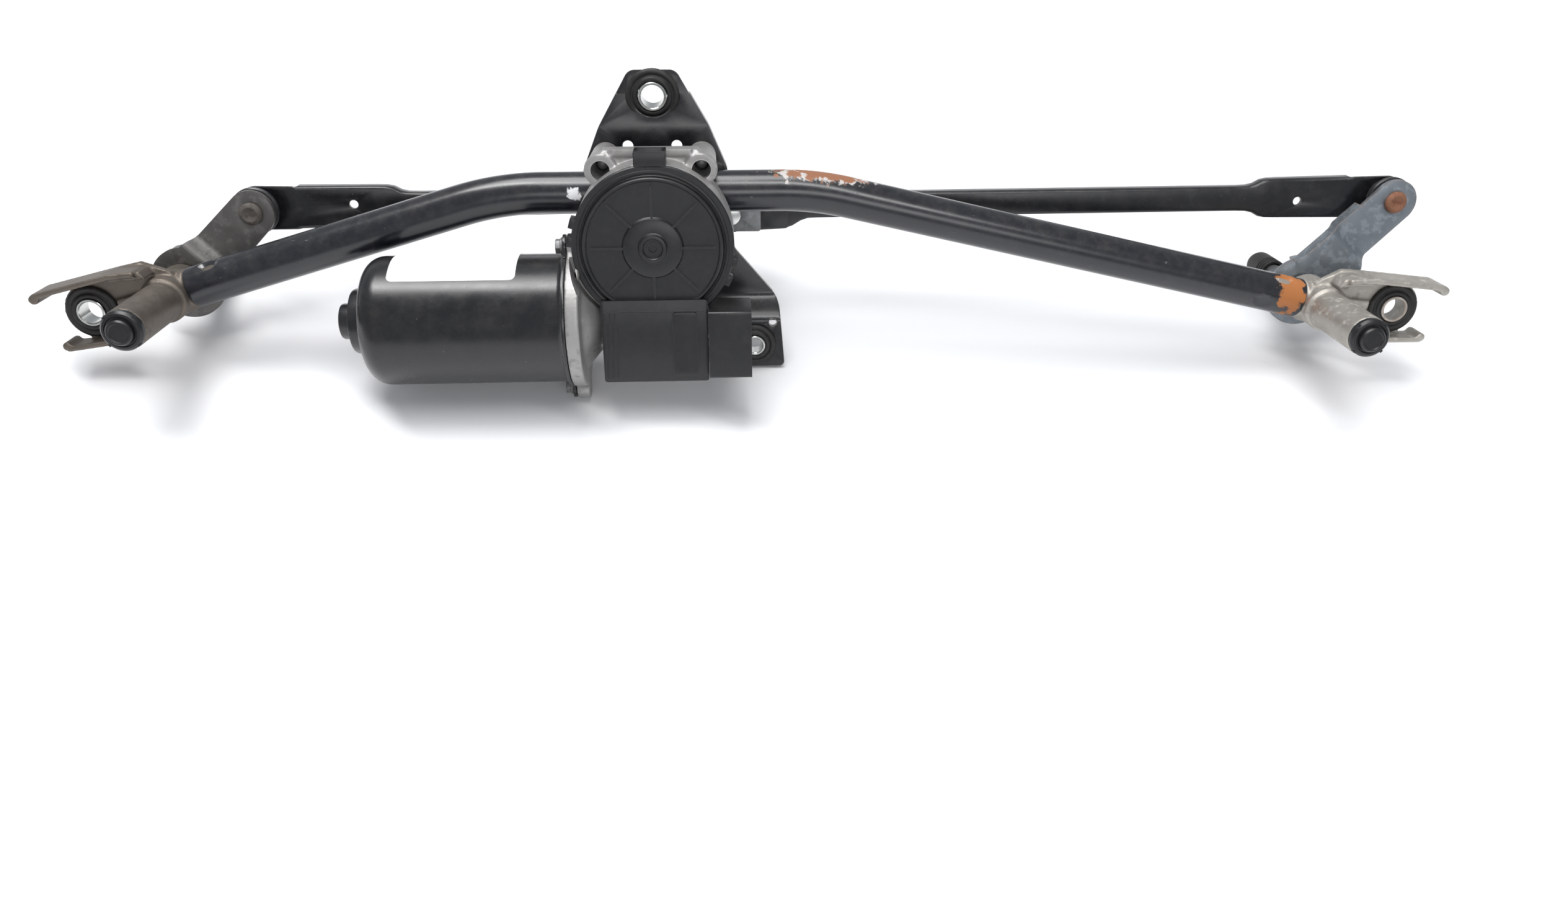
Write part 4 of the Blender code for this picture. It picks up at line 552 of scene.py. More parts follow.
FINISH = {
    "tube": tube_paint(),
    "can": can_paint(),
    "steel": black_steel(),
    "plastic": black_plastic(),
    "rubber": dusty_rubber(),
    "housing": cast_alloy("gearbox_casting", (0.34, 0.335, 0.33), 0.30, (0.075, 0.062, 0.052)),
    "left_casting": cast_alloy("left_casting", (0.150, 0.128, 0.108), 0.10, (0.050, 0.042, 0.036)),
    "right_casting": cast_alloy("right_casting", (0.40, 0.375, 0.34), 0.50, (0.17, 0.14, 0.115)),
    "left_lever": galvanised("left_lever_zinc", (0.135, 0.130, 0.125), (0.070, 0.060, 0.052),
                             (0.055, 0.045, 0.038)),
    "right_lever": galvanised("right_lever_zinc", (0.215, 0.240, 0.265), (0.26, 0.22, 0.18),
                              (0.30, 0.20, 0.13)),
    "zinc": galvanised("zinc_plate", (0.20, 0.205, 0.21), (0.14, 0.12, 0.10), (0.16, 0.12, 0.09)),
    "bright": bright_zinc(),
    "corroded": galvanised("corroded_sleeve", (0.42, 0.40, 0.37), (0.24, 0.12, 0.06), (0.30, 0.14, 0.06)),
    "left_rivet": old_steel("brown_rivet", (0.100, 0.088, 0.078), (0.055, 0.042, 0.033)),
    "right_rivet": old_steel("rust_red_rivet", (0.235, 0.105, 0.060), (0.15, 0.055, 0.03)),
    "socket": plain("socket_plastic", (0.022, 0.022, 0.024), 0.32, 0.0, (0.055, 0.055, 0.058)),
    "bronze": plain("sintered_bronze", (0.45, 0.30, 0.16), 0.42, 0.9, (0.30, 0.20, 0.11)),
    "copper": plain("copper_bars", (0.60, 0.30, 0.18), 0.32, 1.0, (0.36, 0.18, 0.11)),
    "ferrite": plain("dark_ferrite", (0.055, 0.055, 0.057), 0.6, 0.2, (0.10, 0.10, 0.10)),
    "carbon": plain("pressed_carbon", (0.04, 0.04, 0.04), 0.65, 0.1, (0.09, 0.09, 0.09)),
    "nylon": plain("natural_nylon", (0.72, 0.69, 0.60), 0.42, 0.0, (0.58, 0.53, 0.42)),
    "board": plain("tinned_board", (0.42, 0.38, 0.28), 0.40, 0.5, (0.22, 0.19, 0.13)),
    "paper": plain("label_paper", (0.78, 0.78, 0.77), 0.55, 0.0, (0.62, 0.61, 0.59), 0.2),
}


# ---- places ---------------------------------------------------------------------------------

TUBE_Y, TUBE_Z = -11.5, 18.5
TUBE_R = 11.0
TUBE_WALL = 1.5
TUBE_BEND = 160.0
TUBE_END = 12.5                     # from a pivot axis to the tube's end
BARREL_R = 10.8
BARREL_BORE = 8.1
EAR_HOLE_R = 11.5
BARREL_FRONT, BARREL_BACK = -72.0, 8.0
WEB_FRONT, WEB_BACK = -18.0, -14.0
LIP_FRONT = -33.5
EAR_REACH, EAR_HALF, EAR_TIP = 41.5, 17.5, 61.0
GAP = 0.3


class End:
    """One end of the wiper frame: its pivot, its lever and the places round them."""

    def __init__(self, tag, sign, bend_x, ear_turn):
        self.tag = tag
        self.sign = sign
        self.pivot = joint_spot(f"{tag}_lever_swing")
        self.pin = joint_spot(f"{tag}_link_turn")
        self.bend = Vector((bend_x, TUBE_Y, TUBE_Z))
        self.ear_turn = ear_turn
        centre = Vector((self.pivot[0], TUBE_Y, self.pivot[1]))
        self.inwards = (self.bend - centre).normalized()
        arm = Vector(self.pin) - Vector(self.pivot)
        self.reach = arm.length
        self.lever_turn = math.degrees(math.atan2(arm.y, arm.x))

    def along_tube(self, reach, y=TUBE_Y):
        spot = Vector((self.pivot[0], TUBE_Y, self.pivot[1])) + self.inwards * reach
        return Vector((spot.x, y, spot.z))

    def ear(self, points):
        """Outline points drawn outwards from the pivot, in the ear's own direction."""
        return [(self.pivot[0] + self.sign * x, self.pivot[1] + y) for x, y in swing(points, self.ear_turn)]

    def at_pivot(self, y=0.0):
        return (self.pivot[0], y, self.pivot[1])

    def at_pin(self, y=0.0):
        return (self.pin[0], y, self.pin[1])


ENDS = (End("left", -1, -82.0, -9.8), End("right", 1, 85.0, -2.6))
LEFT, RIGHT = ENDS
CRANK_PIN = (40.0, 0.0)


# ---- tube and pivot housings ------------------------------------------------------------------

CRIMP_STEP = 1.25                   # ring spacing where the tube is dented on to the casting
CRIMP_RINGS = 30


def push_ring(step):
    bpy.ops.mesh.extrude_edges_move(TRANSFORM_OT_translate={"value": step})


def dent(point, end, side, place, half_length, half_width, depth):
    """How far a tube point sinks in an oval crimp on one side of the tube."""
    out = point - end.along_tube(0)
    along = out.dot(end.inwards)
    radial = out - end.inwards * along
    across = radial.normalized().angle(side) * TUBE_R
    share = ((along - place) / half_length) ** 2 + (across / half_width) ** 2
    return -radial.normalized() * depth * smoothstep(1.0, 0.25, share) if share < 1.0 else Vector()


def bent_tube():
    """The frame tube: straight arms and a middle joined by two bends, dented at both ends."""
    piece = begin("bent_tube")
    start, finish_at = LEFT.along_tube(TUBE_END), RIGHT.along_tube(TUBE_END)
    ways = (LEFT.inwards, X.copy(), -RIGHT.inwards)
    corners = (LEFT.bend, RIGHT.bend)
    cuts = [ways[i].angle(ways[i + 1]) for i in range(2)]
    back_off = [TUBE_BEND * math.tan(angle / 2) for angle in cuts]
    bpy.ops.mesh.primitive_circle_add(vertices=ROUND, radius=TUBE_R, location=start,
                                      rotation=ways[0].to_track_quat("Z", "Y").to_euler())
    for _ in range(CRIMP_RINGS):
        push_ring(ways[0] * CRIMP_STEP)
    run = CRIMP_RINGS * CRIMP_STEP
    push_ring(ways[0] * ((corners[0] - start).length - run - back_off[0]))
    for i in range(2):
        towards = (ways[i + 1] - ways[i]).normalized()
        inwards = (towards - ways[i] * towards.dot(ways[i])).normalized()
        centre = corners[i] - ways[i] * back_off[i] + inwards * TUBE_BEND
        axis = ways[i].cross(ways[i + 1]).normalized()
        bpy.ops.mesh.spin(steps=20, angle=-cuts[i], center=centre, axis=axis)
        if i == 0:
            push_ring(X * ((corners[1] - corners[0]).length - sum(back_off)))
    push_ring(ways[2] * ((finish_at - corners[1]).length - run - back_off[1]))
    for _ in range(CRIMP_RINGS):
        push_ring(ways[2] * CRIMP_STEP)
    end_drawing()
    lifted = Z * 0.92 - Y * 0.39
    for vertex in piece.data.vertices:
        point = vertex.co.copy()
        for end in ENDS:
            if (point - end.along_tube(0)).dot(end.inwards) < 60.0:
                vertex.co += dent(point, end, lifted, 26.0, 8.5, 5.0, 2.6)
                vertex.co += dent(point, end, -lifted, 26.0, 8.5, 5.0, 2.6)
                vertex.co += dent(point, end, (lifted.cross(end.inwards)).normalized(), 36.0, 6.0, 4.0, 1.2)
    modify(piece, "SOLIDIFY", thickness=TUBE_WALL, offset=-1)
    round_edges(piece, 0.3)
    settle(piece, FINISH["tube"], "frame", "black_paint", "frame_tube")
    return piece


def ribbon(points, width):
    """A strip of one width along the left side of an open line of points."""
    points = [Vector(point) for point in points]
    inner = []
    for i, point in enumerate(points):
        ahead = points[min(i + 1, len(points) - 1)] - points[max(i - 1, 0)]
        inner.append(point + Vector((-ahead.y, ahead.x)).normalized() * width)
    return [tuple(point) for point in points + inner[::-1]]


def pivot_casting(end):
    """The barrel, the spigot in the tube's end and the channel-shaped ear, melted into one casting."""
    piece = begin(f"{end.tag}_pivot_casting")
    add_bar(end.at_pivot(BARREL_FRONT), end.at_pivot(BARREL_BACK), BARREL_R)
    add_bar(end.at_pivot(-26), end.at_pivot(BARREL_BACK - 4), BARREL_R + 1.6)
    add_bar(end.along_tube(0), end.along_tube(TUBE_END - GAP), TUBE_R)
    add_bar(end.along_tube(2), end.along_tube(TUBE_END - 4.5), TUBE_R + 1.1)
    add_bar(end.along_tube(0), end.along_tube(TUBE_END + 30), TUBE_R - TUBE_WALL - GAP)
    round_end = arc((EAR_REACH, 0), 15.2, 60, -60, 12)
    web = [(-6, 13), (8, 21), (20, 20.5), (46, EAR_HALF), *round_end, (46, -EAR_HALF), (30, -18.5), (8, -15),
           (-6, -9)]
    add_prism([end.ear(web)], WEB_FRONT, WEB_BACK)
    top_lip = ribbon([(EAR_TIP, EAR_HALF - 3), (20, 17.5), (6, 16.5)], -3)
    low_lip = ribbon([(26, -15.5), (58, 3 - EAR_HALF)], -3)
    add_prism([end.ear(top_lip)], LIP_FRONT, WEB_BACK)
    add_prism([end.ear(low_lip)], LIP_FRONT + 6, WEB_BACK)
    tip, low_tip = end.ear([(EAR_TIP, EAR_HALF - 3)])[0], end.ear([(58, 3 - EAR_HALF)])[0]
    add_bar((tip[0], LIP_FRONT, tip[1]), (tip[0], WEB_BACK, tip[1]), 2.6)
    add_bar((low_tip[0], LIP_FRONT + 6, low_tip[1]), (low_tip[0], WEB_BACK, low_tip[1]), 2.4)
    gusset = end.ear([(4, 6), (27, 4), (27, -1), (4, -5)])
    add_prism([gusset], WEB_FRONT - 2.2, WEB_BACK)
    flute = end.ear([(2, 14), (22, 15.8), (22, 18), (4, 18.5)])
    add_prism([flute], LIP_FRONT + 3, WEB_BACK)
    cast(piece, 0.75)
    ear = end.ear([(EAR_REACH, 0)])[0]
    cut_away(piece, lambda: add_bar((ear[0], -24, ear[1]), (ear[0], -8, ear[1]), EAR_HOLE_R))
    cut_away(piece, lambda: add_bar(end.at_pivot(BARREL_FRONT - 3), end.at_pivot(BARREL_BACK + 3),
                                    BARREL_BORE))
    settle(piece, FINISH[f"{end.tag}_casting"], "frame", "cast_alloy", f"{end.tag}_pivot_housing", smooth=50)


def barrel_cap(end):
    """The moulded cap on the barrel's front: a collar, a stepped face and a sunk middle."""
    piece = begin(f"{end.tag}_barrel_end_cap")
    front = BARREL_FRONT - GAP
    profile = [(0, front), (10.5, front), (10.5, front - 2.2), (10.1, front - 2.8), (9.3, front - 3.6),
               (8.1, front - 3.8), (7.7, front - 3.2), (7.0, front - 3.2), (6.7, front - 5.6),
               (6.0, front - 6.5),
               (5.2, front - 6.6), (4.6, front - 6.1), (0, front - 6.1)]
    add_turned(end.at_pivot(), Y, profile)
    for i in range(4):
        notch = swing([(9.0, -0.8), (10.7, -0.8), (10.7, 0.8), (9.0, 0.8)], 45 + 90 * i, end.pivot)
        add_prism([notch], front - 3.0, front - 0.6)
    settle(piece, FINISH["plastic"], "frame", "black_plastic", f"{end.tag}_barrel_cap")


# ---- grommets ----------------------------------------------------------------------------------

LEAN = 8.0                          # the bracket's top leans back by this many degrees
SHOULDER_Z = 50.7


def lean_y(z):
    return (z - SHOULDER_Z) * math.tan(math.radians(LEAN))


def tip_back(piece, place, degrees):
    """Leans a piece back about a place, across X."""
    end_drawing()
    turn = Matrix.Translation(place) @ Matrix.Rotation(math.radians(-degrees), 4, "X")
    piece.data.transform(turn @ Matrix.Translation(-Vector(place)))


def grommet(name, spot, plate_front, plate_thick, radius, sleeve, bore, lean=0.0, metal="bright"):
    """A grooved rubber ring with a stepped lip, and the steel sleeve through it."""
    middle = plate_front + plate_thick / 2
    place = (spot[0], middle, spot[1])
    half = plate_thick / 2
    lip = half + 3.2
    groove = radius - 3.0
    inner = sleeve + GAP
    ring = [(inner, -lip + 0.5), (inner + 0.3, -lip + 0.1), (inner + 0.8, -lip), (inner + 1.7, -lip),
            (inner + 2.2, -lip + 0.3), (inner + 2.4, -lip + 1.0), (inner + 2.9, -lip + 1.3),
            (radius - 3.0, -lip + 1.3),
            (radius - 2.5, -lip + 0.9), (radius - 1.6, -lip + 0.7), (radius - 0.8, -lip + 1.0),
            (radius - 0.2, -lip + 1.7),
            (radius, -half - 1.0), (radius - 0.3, -half - GAP), (groove, -half - GAP), (groove, half + GAP),
            (radius - 1.5, half + GAP), (radius - 1.3, half + 1.0), (radius - 1.8, half + 1.8),
            (radius - 3.2, lip - 0.2),
            (radius - 3.8, lip), (inner, lip)]
    soft = begin(f"{name}_rubber")
    add_turned(place, Y, ring)
    tip_back(soft, place, -lean)
    settle(soft, FINISH["rubber"], "frame", "rubber", f"{name}_grommet", smooth=60)
    end = lip + 0.6
    wall = [(bore, -end + 0.5), (bore + 0.4, -end), (sleeve - 0.3, -end), (sleeve, -end + 0.3),
            (sleeve, end - 0.3),
            (sleeve - 0.3, end), (bore + 0.3, end), (bore, end - 0.4)]
    hard = begin(f"{name}_steel_sleeve")
    add_turned(place, Y, wall)
    tip_back(hard, place, -lean)
    settle(hard, FINISH[metal], "frame", "bright_steel", f"{name}_sleeve")


def grommets():
    grommet("bracket_top", (0, 67.0), lean_y(67.0), 3.0, 14.3, 7.6, 6.1, LEAN)
    grommet("bracket_foot", (52.6, -68.4), -12.0, 3.0, 11.7, 5.6, 4.2)
    for end in ENDS:
        grommet(f"{end.tag}_ear", end.ear([(EAR_REACH, 0)])[0], WEB_FRONT, 4.0, 14.2, 7.5, 6.0,
                metal="bright" if end is LEFT else "corroded")


# ---- motor bracket ----------------------------------------------------------------------------

PLATE = 3.0
STEP_HIGH, STEP_LOW, STEP_FORWARD = -43.0, -54.0, 12.0
HIP_HALF, HIP_Z = 39.0, 28.0
SHOULDER_HALF = 29.5
TOP_HALF, TOP_Z = 12.5, 79.5
PAD_RIGHT, PAD_BOTTOM = 69.5, -82.0


def bisect_across(direction, places):
    """Cuts all that is drawn across a direction, so that it can bend there."""
    for place in places:
        bpy.ops.mesh.select_all(action="SELECT")
        bpy.ops.mesh.bisect(plane_co=direction * place, plane_no=direction)


def select_edges(piece, wanted):
    """Selects the open edges whose two ends are wanted."""
    bpy.ops.mesh.select_all(action="DESELECT")
    bpy.ops.mesh.select_mode(type="EDGE")
    mesh = bmesh.from_edit_mesh(piece.data)
    for edge in mesh.edges:
        if edge.is_boundary and all(wanted(vertex.co) for vertex in edge.verts):
            edge.select_set(True)
    bmesh.update_edit_mesh(piece.data)


def pressed(name, loops, bends, wanted, depth, wall, shape, corner=1.6):
    """A sheet pressed from an outline: cut at its bends, its wanted edges folded back, then shaped."""
    piece = begin(name)
    for loop in loops:
        draw_line([Vector((a, 0, b)) for a, b in loop + loop[:1]])
    bpy.ops.mesh.select_all(action="SELECT")
    weld()
    bpy.ops.mesh.fill(use_beauty=True)
    bpy.ops.mesh.normals_make_consistent(inside=False)
    for direction, places in bends:
        bisect_across(direction, places)
    select_edges(piece, wanted)
    bpy.ops.mesh.extrude_edges_move(TRANSFORM_OT_translate={"value": Y * depth})
    bpy.ops.mesh.select_all(action="SELECT")
    bpy.ops.mesh.select_mode(type="VERT")
    bpy.ops.mesh.normals_make_consistent(inside=False)
    mesh = bmesh.from_edit_mesh(piece.data)
    if sum(face.normal.y * face.calc_area() for face in mesh.faces) > 0:
        bpy.ops.mesh.flip_normals()
    round_edges(piece, corner, 3, 60)
    for vertex in piece.data.vertices:
        vertex.co.y += shape(vertex.co.x, vertex.co.z)
    modify(piece, "SOLIDIFY", thickness=wall, offset=-1)
    round_edges(piece, 0.35, 2, 50)
    return piece


def edge_limit(z):
    """Just inside the bracket's side edge at a height, so that its holes are left out."""
    return 36.0 - max(0.0, z - HIP_Z) * 0.47


def motor_bracket():
    """The stamped plate that holds the gearbox, the tube and two of the rubber mounts."""
    top = [(-SHOULDER_HALF, SHOULDER_Z, 30), (-TOP_HALF, TOP_Z, 6), (TOP_HALF, TOP_Z, 6)]
    right = [(SHOULDER_HALF, SHOULDER_Z, 30), (HIP_HALF, HIP_Z, 10), (39.5, -13, 20), (66.5, -45, 16)]
    low = [(PAD_RIGHT, PAD_BOTTOM, 3), (36, PAD_BOTTOM, 8), (30, -56, 8), (-4, -45, 10), (-26, -36, 12)]
    left = [(-HIP_HALF, -8, 12), (-HIP_HALF, HIP_Z, 10)]
    outline = rounded(top + right + low + left, 10)
    holes = [circle(spot, radius) for *spot, radius in LOCATING_HOLES]
    holes += [circle(spot, 3.3) for spot in (*BOSSES, STUB_BOSS)]
    holes += [circle((0, 0), 7.3), circle((0, 67.0), 11.6, WIDE), circle((52.6, -68.4), 9.0, WIDE)]

    def shape(x, z):
        return max(0.0, lean_y(z)) - STEP_FORWARD * smoothstep(STEP_HIGH + 1.5, STEP_LOW - 1.5, z)

    def folded(point):
        return 15.9 < point.z < 67.6 and abs(point.x) > edge_limit(point.z)

    steps = [STEP_HIGH + 1.5 - 1.4 * i for i in range(11)]
    piece = pressed("pressed_motor_bracket", [outline, *holes], [(Z, [16.0, SHOULDER_Z, 67.5, *steps])],
                    folded,
                    8.5, PLATE, shape)
    settle(piece, FINISH["steel"], "frame", "black_steel", "motor_bracket")


# ---- gear housing -----------------------------------------------------------------------------

POT_R, POT_WALL, POT_FRONT, POT_BACK = 41.5, 2.8, -52.0, -25.0
BOSSES = ((-26.0, 35.6), (25.4, 35.6))
STUB_BOSS = (24.0, -34.0)
LOCATING_HOLES = ((-14.2, 40.6, 2.9), (12.0, 40.6, 2.9), (62.8, -56.0, 2.2))
MOTOR_Y, MOTOR_Z = -38.0, -42.7
SCREW_REACH = 39.0
FLANGE_R = 36.5
MOTOR = (0, MOTOR_Y, MOTOR_Z)


def flange_outline(radius, ear):
    """The motor flange in Y and Z: a disc with a screw ear above and below the motor's axis."""
    points = []
    for sign in (1, -1):
        start = 90 if sign < 0 else -90
        points += arc((MOTOR_Y, MOTOR_Z), radius, start + 15, start + 165, 40)
        first = -10 if sign > 0 else 170
        points += arc((MOTOR_Y, MOTOR_Z + sign * SCREW_REACH), ear, first, first + 200, 20)
    return points


def screw_spots():
    return [(MOTOR_Y, MOTOR_Z + sign * SCREW_REACH) for sign in (1, -1)]


def gear_housing():
    """The cast gearbox, drawn from its simple shapes, melted together, then bored."""
    piece = begin("gearbox_casting")
    add_bar((0, POT_FRONT, 0), (0, POT_BACK, 0), POT_R, sides=WIDE)
    for x, z in BOSSES:
        add_bar((x, -40, z), (x, -GAP, z), 7.9, 7.5)
        add_bar((x, -40.0, z), (x, -37.5, z), 8.4)
    add_box((-25, -38, 30), (24.4, -27, 45.5))
    add_box((-21, -39.2, 42.6), (20.4, -30, 45.9))
    add_bar((STUB_BOSS[0], POT_BACK - 3, STUB_BOSS[1]), (STUB_BOSS[0], -GAP, STUB_BOSS[1]), 7.2)
    add_bar((0, POT_BACK - 2, 0), (0, 5, 0), 7.0)
    for i in range(6):
        rib = swing([(5, -1.1), (39, -1.1), (39, 1.1), (5, 1.1)], 30 + 60 * i)
        add_prism([rib], POT_BACK - 2, POT_BACK + 2.4)
    add_bar((-29.7, MOTOR_Y, MOTOR_Z), (26.8, MOTOR_Y, MOTOR_Z), 11.0)
    add_box((-28.5, -51.4, -70), (26.8, -38.5, -20))
    add_bar((-41.5, MOTOR_Y, MOTOR_Z), (-25.7, MOTOR_Y, MOTOR_Z), 31.0, 12.0)
    add_prism([flange_outline(FLANGE_R, 6.7)], -45.5, -38.3, X)
    cast(piece, 0.85, 3)
    room = [(38.7, -56), (38.7, -28), (0.0, -28), (0.0, -56)]

    def rooms():
        add_turned((0, 0, 0), Y, room[::-1], WIDE)
        add_bar((-60, TUBE_Y, TUBE_Z), (60, TUBE_Y, TUBE_Z), TUBE_R + 0.4)
        add_bar((-48, MOTOR_Y, MOTOR_Z), (-41, MOTOR_Y, MOTOR_Z), 29.0)
        add_bar((0, -27, 0), (0, 7, 0), 5.9)
        for x, z in BOSSES:
            mouth = [(0, -42), (4.9, -42), (4.9, -33), (3.9, -32), (3.9, 2), (0, 2)]
            add_turned((x, 0, z), Y, mouth)
        for y, z in screw_spots():
            add_bar((-47, y, z), (-40.5, y, z), 2.3)

    cut_away(piece, rooms)

    cut_away(piece, lambda: add_turned((0, 0, 0), Y, [(41.6, -70), (44.5, -70), (44.5, -47), (41.6, -47)],
                                       WIDE))
    settle(piece, FINISH["housing"], "frame", "cast_alloy", "gear_housing", smooth=45)


def bracket_bolts():
    for i, spot in enumerate((*BOSSES, STUB_BOSS)):
        piece = begin(f"bracket_bolt_{i + 1}_hex")
        place = (spot[0], 0, spot[1])
        add_prism([circle(spot, 5.3, 6)], 3.9, 8.2)
        add_turned(place, Y, [(0, 3.3), (5.9, 3.3), (5.9, 4.4), (4.2, 4.9), (0, 4.9)])
        add_turned(place, Y, [(0, 3.0), (2.9, 3.0), (2.9, -22 if i < 2 else -18),
                              (0, -23 if i < 2 else -19)])
        round_edges(piece, 0.3)
        settle(piece, FINISH["zinc"], "frame", "zinc_plate", f"bracket_bolt_{i + 1}")


# ---- motor ------------------------------------------------------------------------------------

CAN_R, CAN_WALL, CAN_CORNER = 34.0, 1.8, 11.0
CAN_OPEN, CAN_END, STEP_END, TIP_END = -45.8, -152.5, -160.0, -166.8
STEP_R, TIP_R = 17.2, 9.5
LABEL_START, LABEL_MIDDLE, LABEL_STEP, LABEL_STEPS = -136.0, -103.5, 1.3, 51
LABEL_FROM, LABEL_SWEEP = 53.0, 62.0  # degrees up from the motor's front, then over its top
LABEL_HALF, LABEL_CORNER = 29.5, 3.0
LABEL_LIFT, LABEL_THICK = 0.06, 0.12


def quarter(radius, along, size, steps=10):
    """Profile points round the can's corner, from its side to its end."""
    turns = [math.pi / 2 * i / steps for i in range(steps + 1)]
    return [(radius - CAN_CORNER + size * math.cos(a), along - size * math.sin(a)) for a in turns]


def motor_can():
    """The drawn case: a flange with two screw ears, a soft corner, a bearing step and its tip."""
    piece = begin("drawn_motor_can")
    centre = CAN_END + CAN_CORNER
    outer = [(36.0, CAN_OPEN - 1.8), (35.2, CAN_OPEN - 1.8), (CAN_R + 0.4, CAN_OPEN - 2.6),
             (CAN_R, CAN_OPEN - 4.0)]
    outer += quarter(CAN_R, centre, CAN_CORNER)
    outer += [(18.6, CAN_END), (17.6, CAN_END - 0.5), (STEP_R, CAN_END - 1.6), (STEP_R, STEP_END + 1.6),
              (16.6, STEP_END + 0.4), (15.4, STEP_END), (10.6, STEP_END), (9.8, STEP_END - 0.5),
              (TIP_R, -161.5),
              (TIP_R, TIP_END + 1.4), (9.0, TIP_END + 0.4), (8.0, TIP_END), (3.2, TIP_END),
              (2.6, TIP_END + 0.8),
              (0, TIP_END + 0.8)]
    inner = [(0, TIP_END + 1.8), (7.7, TIP_END + 1.8), (7.7, STEP_END + 1.8), (15.4, STEP_END + 1.8),
             (15.4, CAN_END + 1.8)]
    inner += quarter(CAN_R, centre, CAN_CORNER - CAN_WALL)[::-1] + [(32.2, CAN_OPEN), (36.0, CAN_OPEN)]
    add_turned(MOTOR, X, inner + outer, WIDE)
    for sign in (1, -1):
        y, z = MOTOR_Y, MOTOR_Z + sign * SCREW_REACH
        reach = MOTOR_Z + sign * 35.2
        ear = [(y - 9, reach), (y + 9, reach), *arc((y, z), 6.2, 0, 180 * sign, 20)]
        add_prism([ear, circle((y, z), 2.3)], CAN_OPEN - 1.8, CAN_OPEN, X)
    round_edges(piece, 0.3, 2, 50)
    settle(piece, FINISH["can"], "frame", "black_paint", "motor_can")
    sheet = begin("blank_label")
    turn = math.radians(LABEL_FROM)
    y, z = MOTOR_Y - CAN_R * math.cos(turn), MOTOR_Z + CAN_R * math.sin(turn)
    draw_line([Vector((LABEL_START + LABEL_STEP * i, y, z)) for i in range(LABEL_STEPS)])
    bpy.ops.mesh.spin(steps=40, angle=math.radians(LABEL_SWEEP), center=Vector(MOTOR), axis=X)
    bpy.ops.mesh.select_all(action="SELECT")
    weld()
    end_drawing()
    fit_label(sheet)
    settle(sheet, FINISH["paper"], "frame", "black_paint")


def fit_label(sheet):
    """Trims the label to round corners, lifts it off the can by its own thickness and faces it out."""
    place = Vector((0, MOTOR_Y, MOTOR_Z))
    mesh = sheet.data
    angles = [math.degrees(math.atan2(v.co.z - MOTOR_Z, MOTOR_Y - v.co.y)) for v in mesh.vertices]
    low, high = min(angles), max(angles)
    half = math.radians(high - low) / 2 * CAN_R
    for vertex, angle in zip(mesh.vertices, angles):
        along = vertex.co.x - LABEL_MIDDLE
        across = math.radians(angle - (low + high) / 2) * CAN_R
        over = Vector((max(0.0, abs(along) - LABEL_HALF), max(0.0, abs(across) - (half - LABEL_CORNER))))
        if over.length > LABEL_CORNER:
            scale = LABEL_CORNER / over.length
            along = math.copysign(LABEL_HALF + over.x * scale, along)
            across = math.copysign(half - LABEL_CORNER + over.y * scale, across)
        turn = math.radians((low + high) / 2) + across / CAN_R
        lifted = CAN_R + LABEL_LIFT
        vertex.co = place + Vector((along + LABEL_MIDDLE, -math.cos(turn) * lifted, math.sin(turn) * lifted))
    modify(sheet, "SOLIDIFY", thickness=LABEL_THICK, offset=0)
    bpy.ops.object.mode_set(mode="EDIT")
    bpy.ops.mesh.select_all(action="SELECT")
    bpy.ops.mesh.normals_make_consistent(inside=False)
    end_drawing()


def motor_screws():
    for i, (y, z) in enumerate(screw_spots()):
        piece = begin(f"flange_screw_{i + 1}_hex")
        face = CAN_OPEN - 1.8 - GAP
        add_prism([circle((y, z), 4.0, 6)], face - 3.7, face - 0.9, X)
        add_turned((0, y, z), X, [(0, face), (4.6, face), (4.6, face - 0.8), (3.6, face - 1.2),
                                  (0, face - 1.2)])
        add_turned((0, y, z), X, [(0, face - 0.5), (1.9, face - 0.5), (1.9, -41.0), (0, -40.6)])
        round_edges(piece, 0.25)
        settle(piece, FINISH["zinc"], "frame", "zinc_plate", f"motor_screw_{i + 1}")


# ---- cover and connector ----------------------------------------------------------------------

def cover_lid():
    """The moulded lid: a lipped rim, a raised ribbed disc and its hub."""
    piece = begin("moulded_gear_cover")
    back = -53.4
    profile = [(0, -55.6), (38.7, -55.6), (38.7, back), (41.4, back), (41.5, -53.9), (41.5, -55.9),
               (41.0, -56.4),
               (38.9, -56.4), (38.6, -56.9), (37.9, -57.1), (37.3, -56.9), (37.0, -56.4), (36.7, -56.4),
               (36.2, -56.8), (35.7, -58.6), (35.2, -59.0), (34.4, -59.0), (33.9, -58.6), (33.5, -58.0),
               (15.9, -58.0), (15.4, -58.5), (15.0, -59.1), (14.4, -59.4), (8.0, -59.4), (7.4, -59.8),
               (7.0, -60.6),
               (6.5, -60.8), (5.4, -60.8), (5.0, -60.4), (4.7, -59.4), (2.2, -59.4), (2.0, -58.6),
               (0, -58.6)]
    add_turned((0, 0, 0), Y, profile, WIDE)
    for i in range(8):
        rib = swing([(14.6, -0.55), (31.5, -0.4), (31.5, 0.4), (14.6, 0.55)], 45 * i)
        add_prism([rib], -59.0, -57.6)
    settle(piece, FINISH["plastic"], "frame", "black_plastic", "gear_cover", smooth=28)


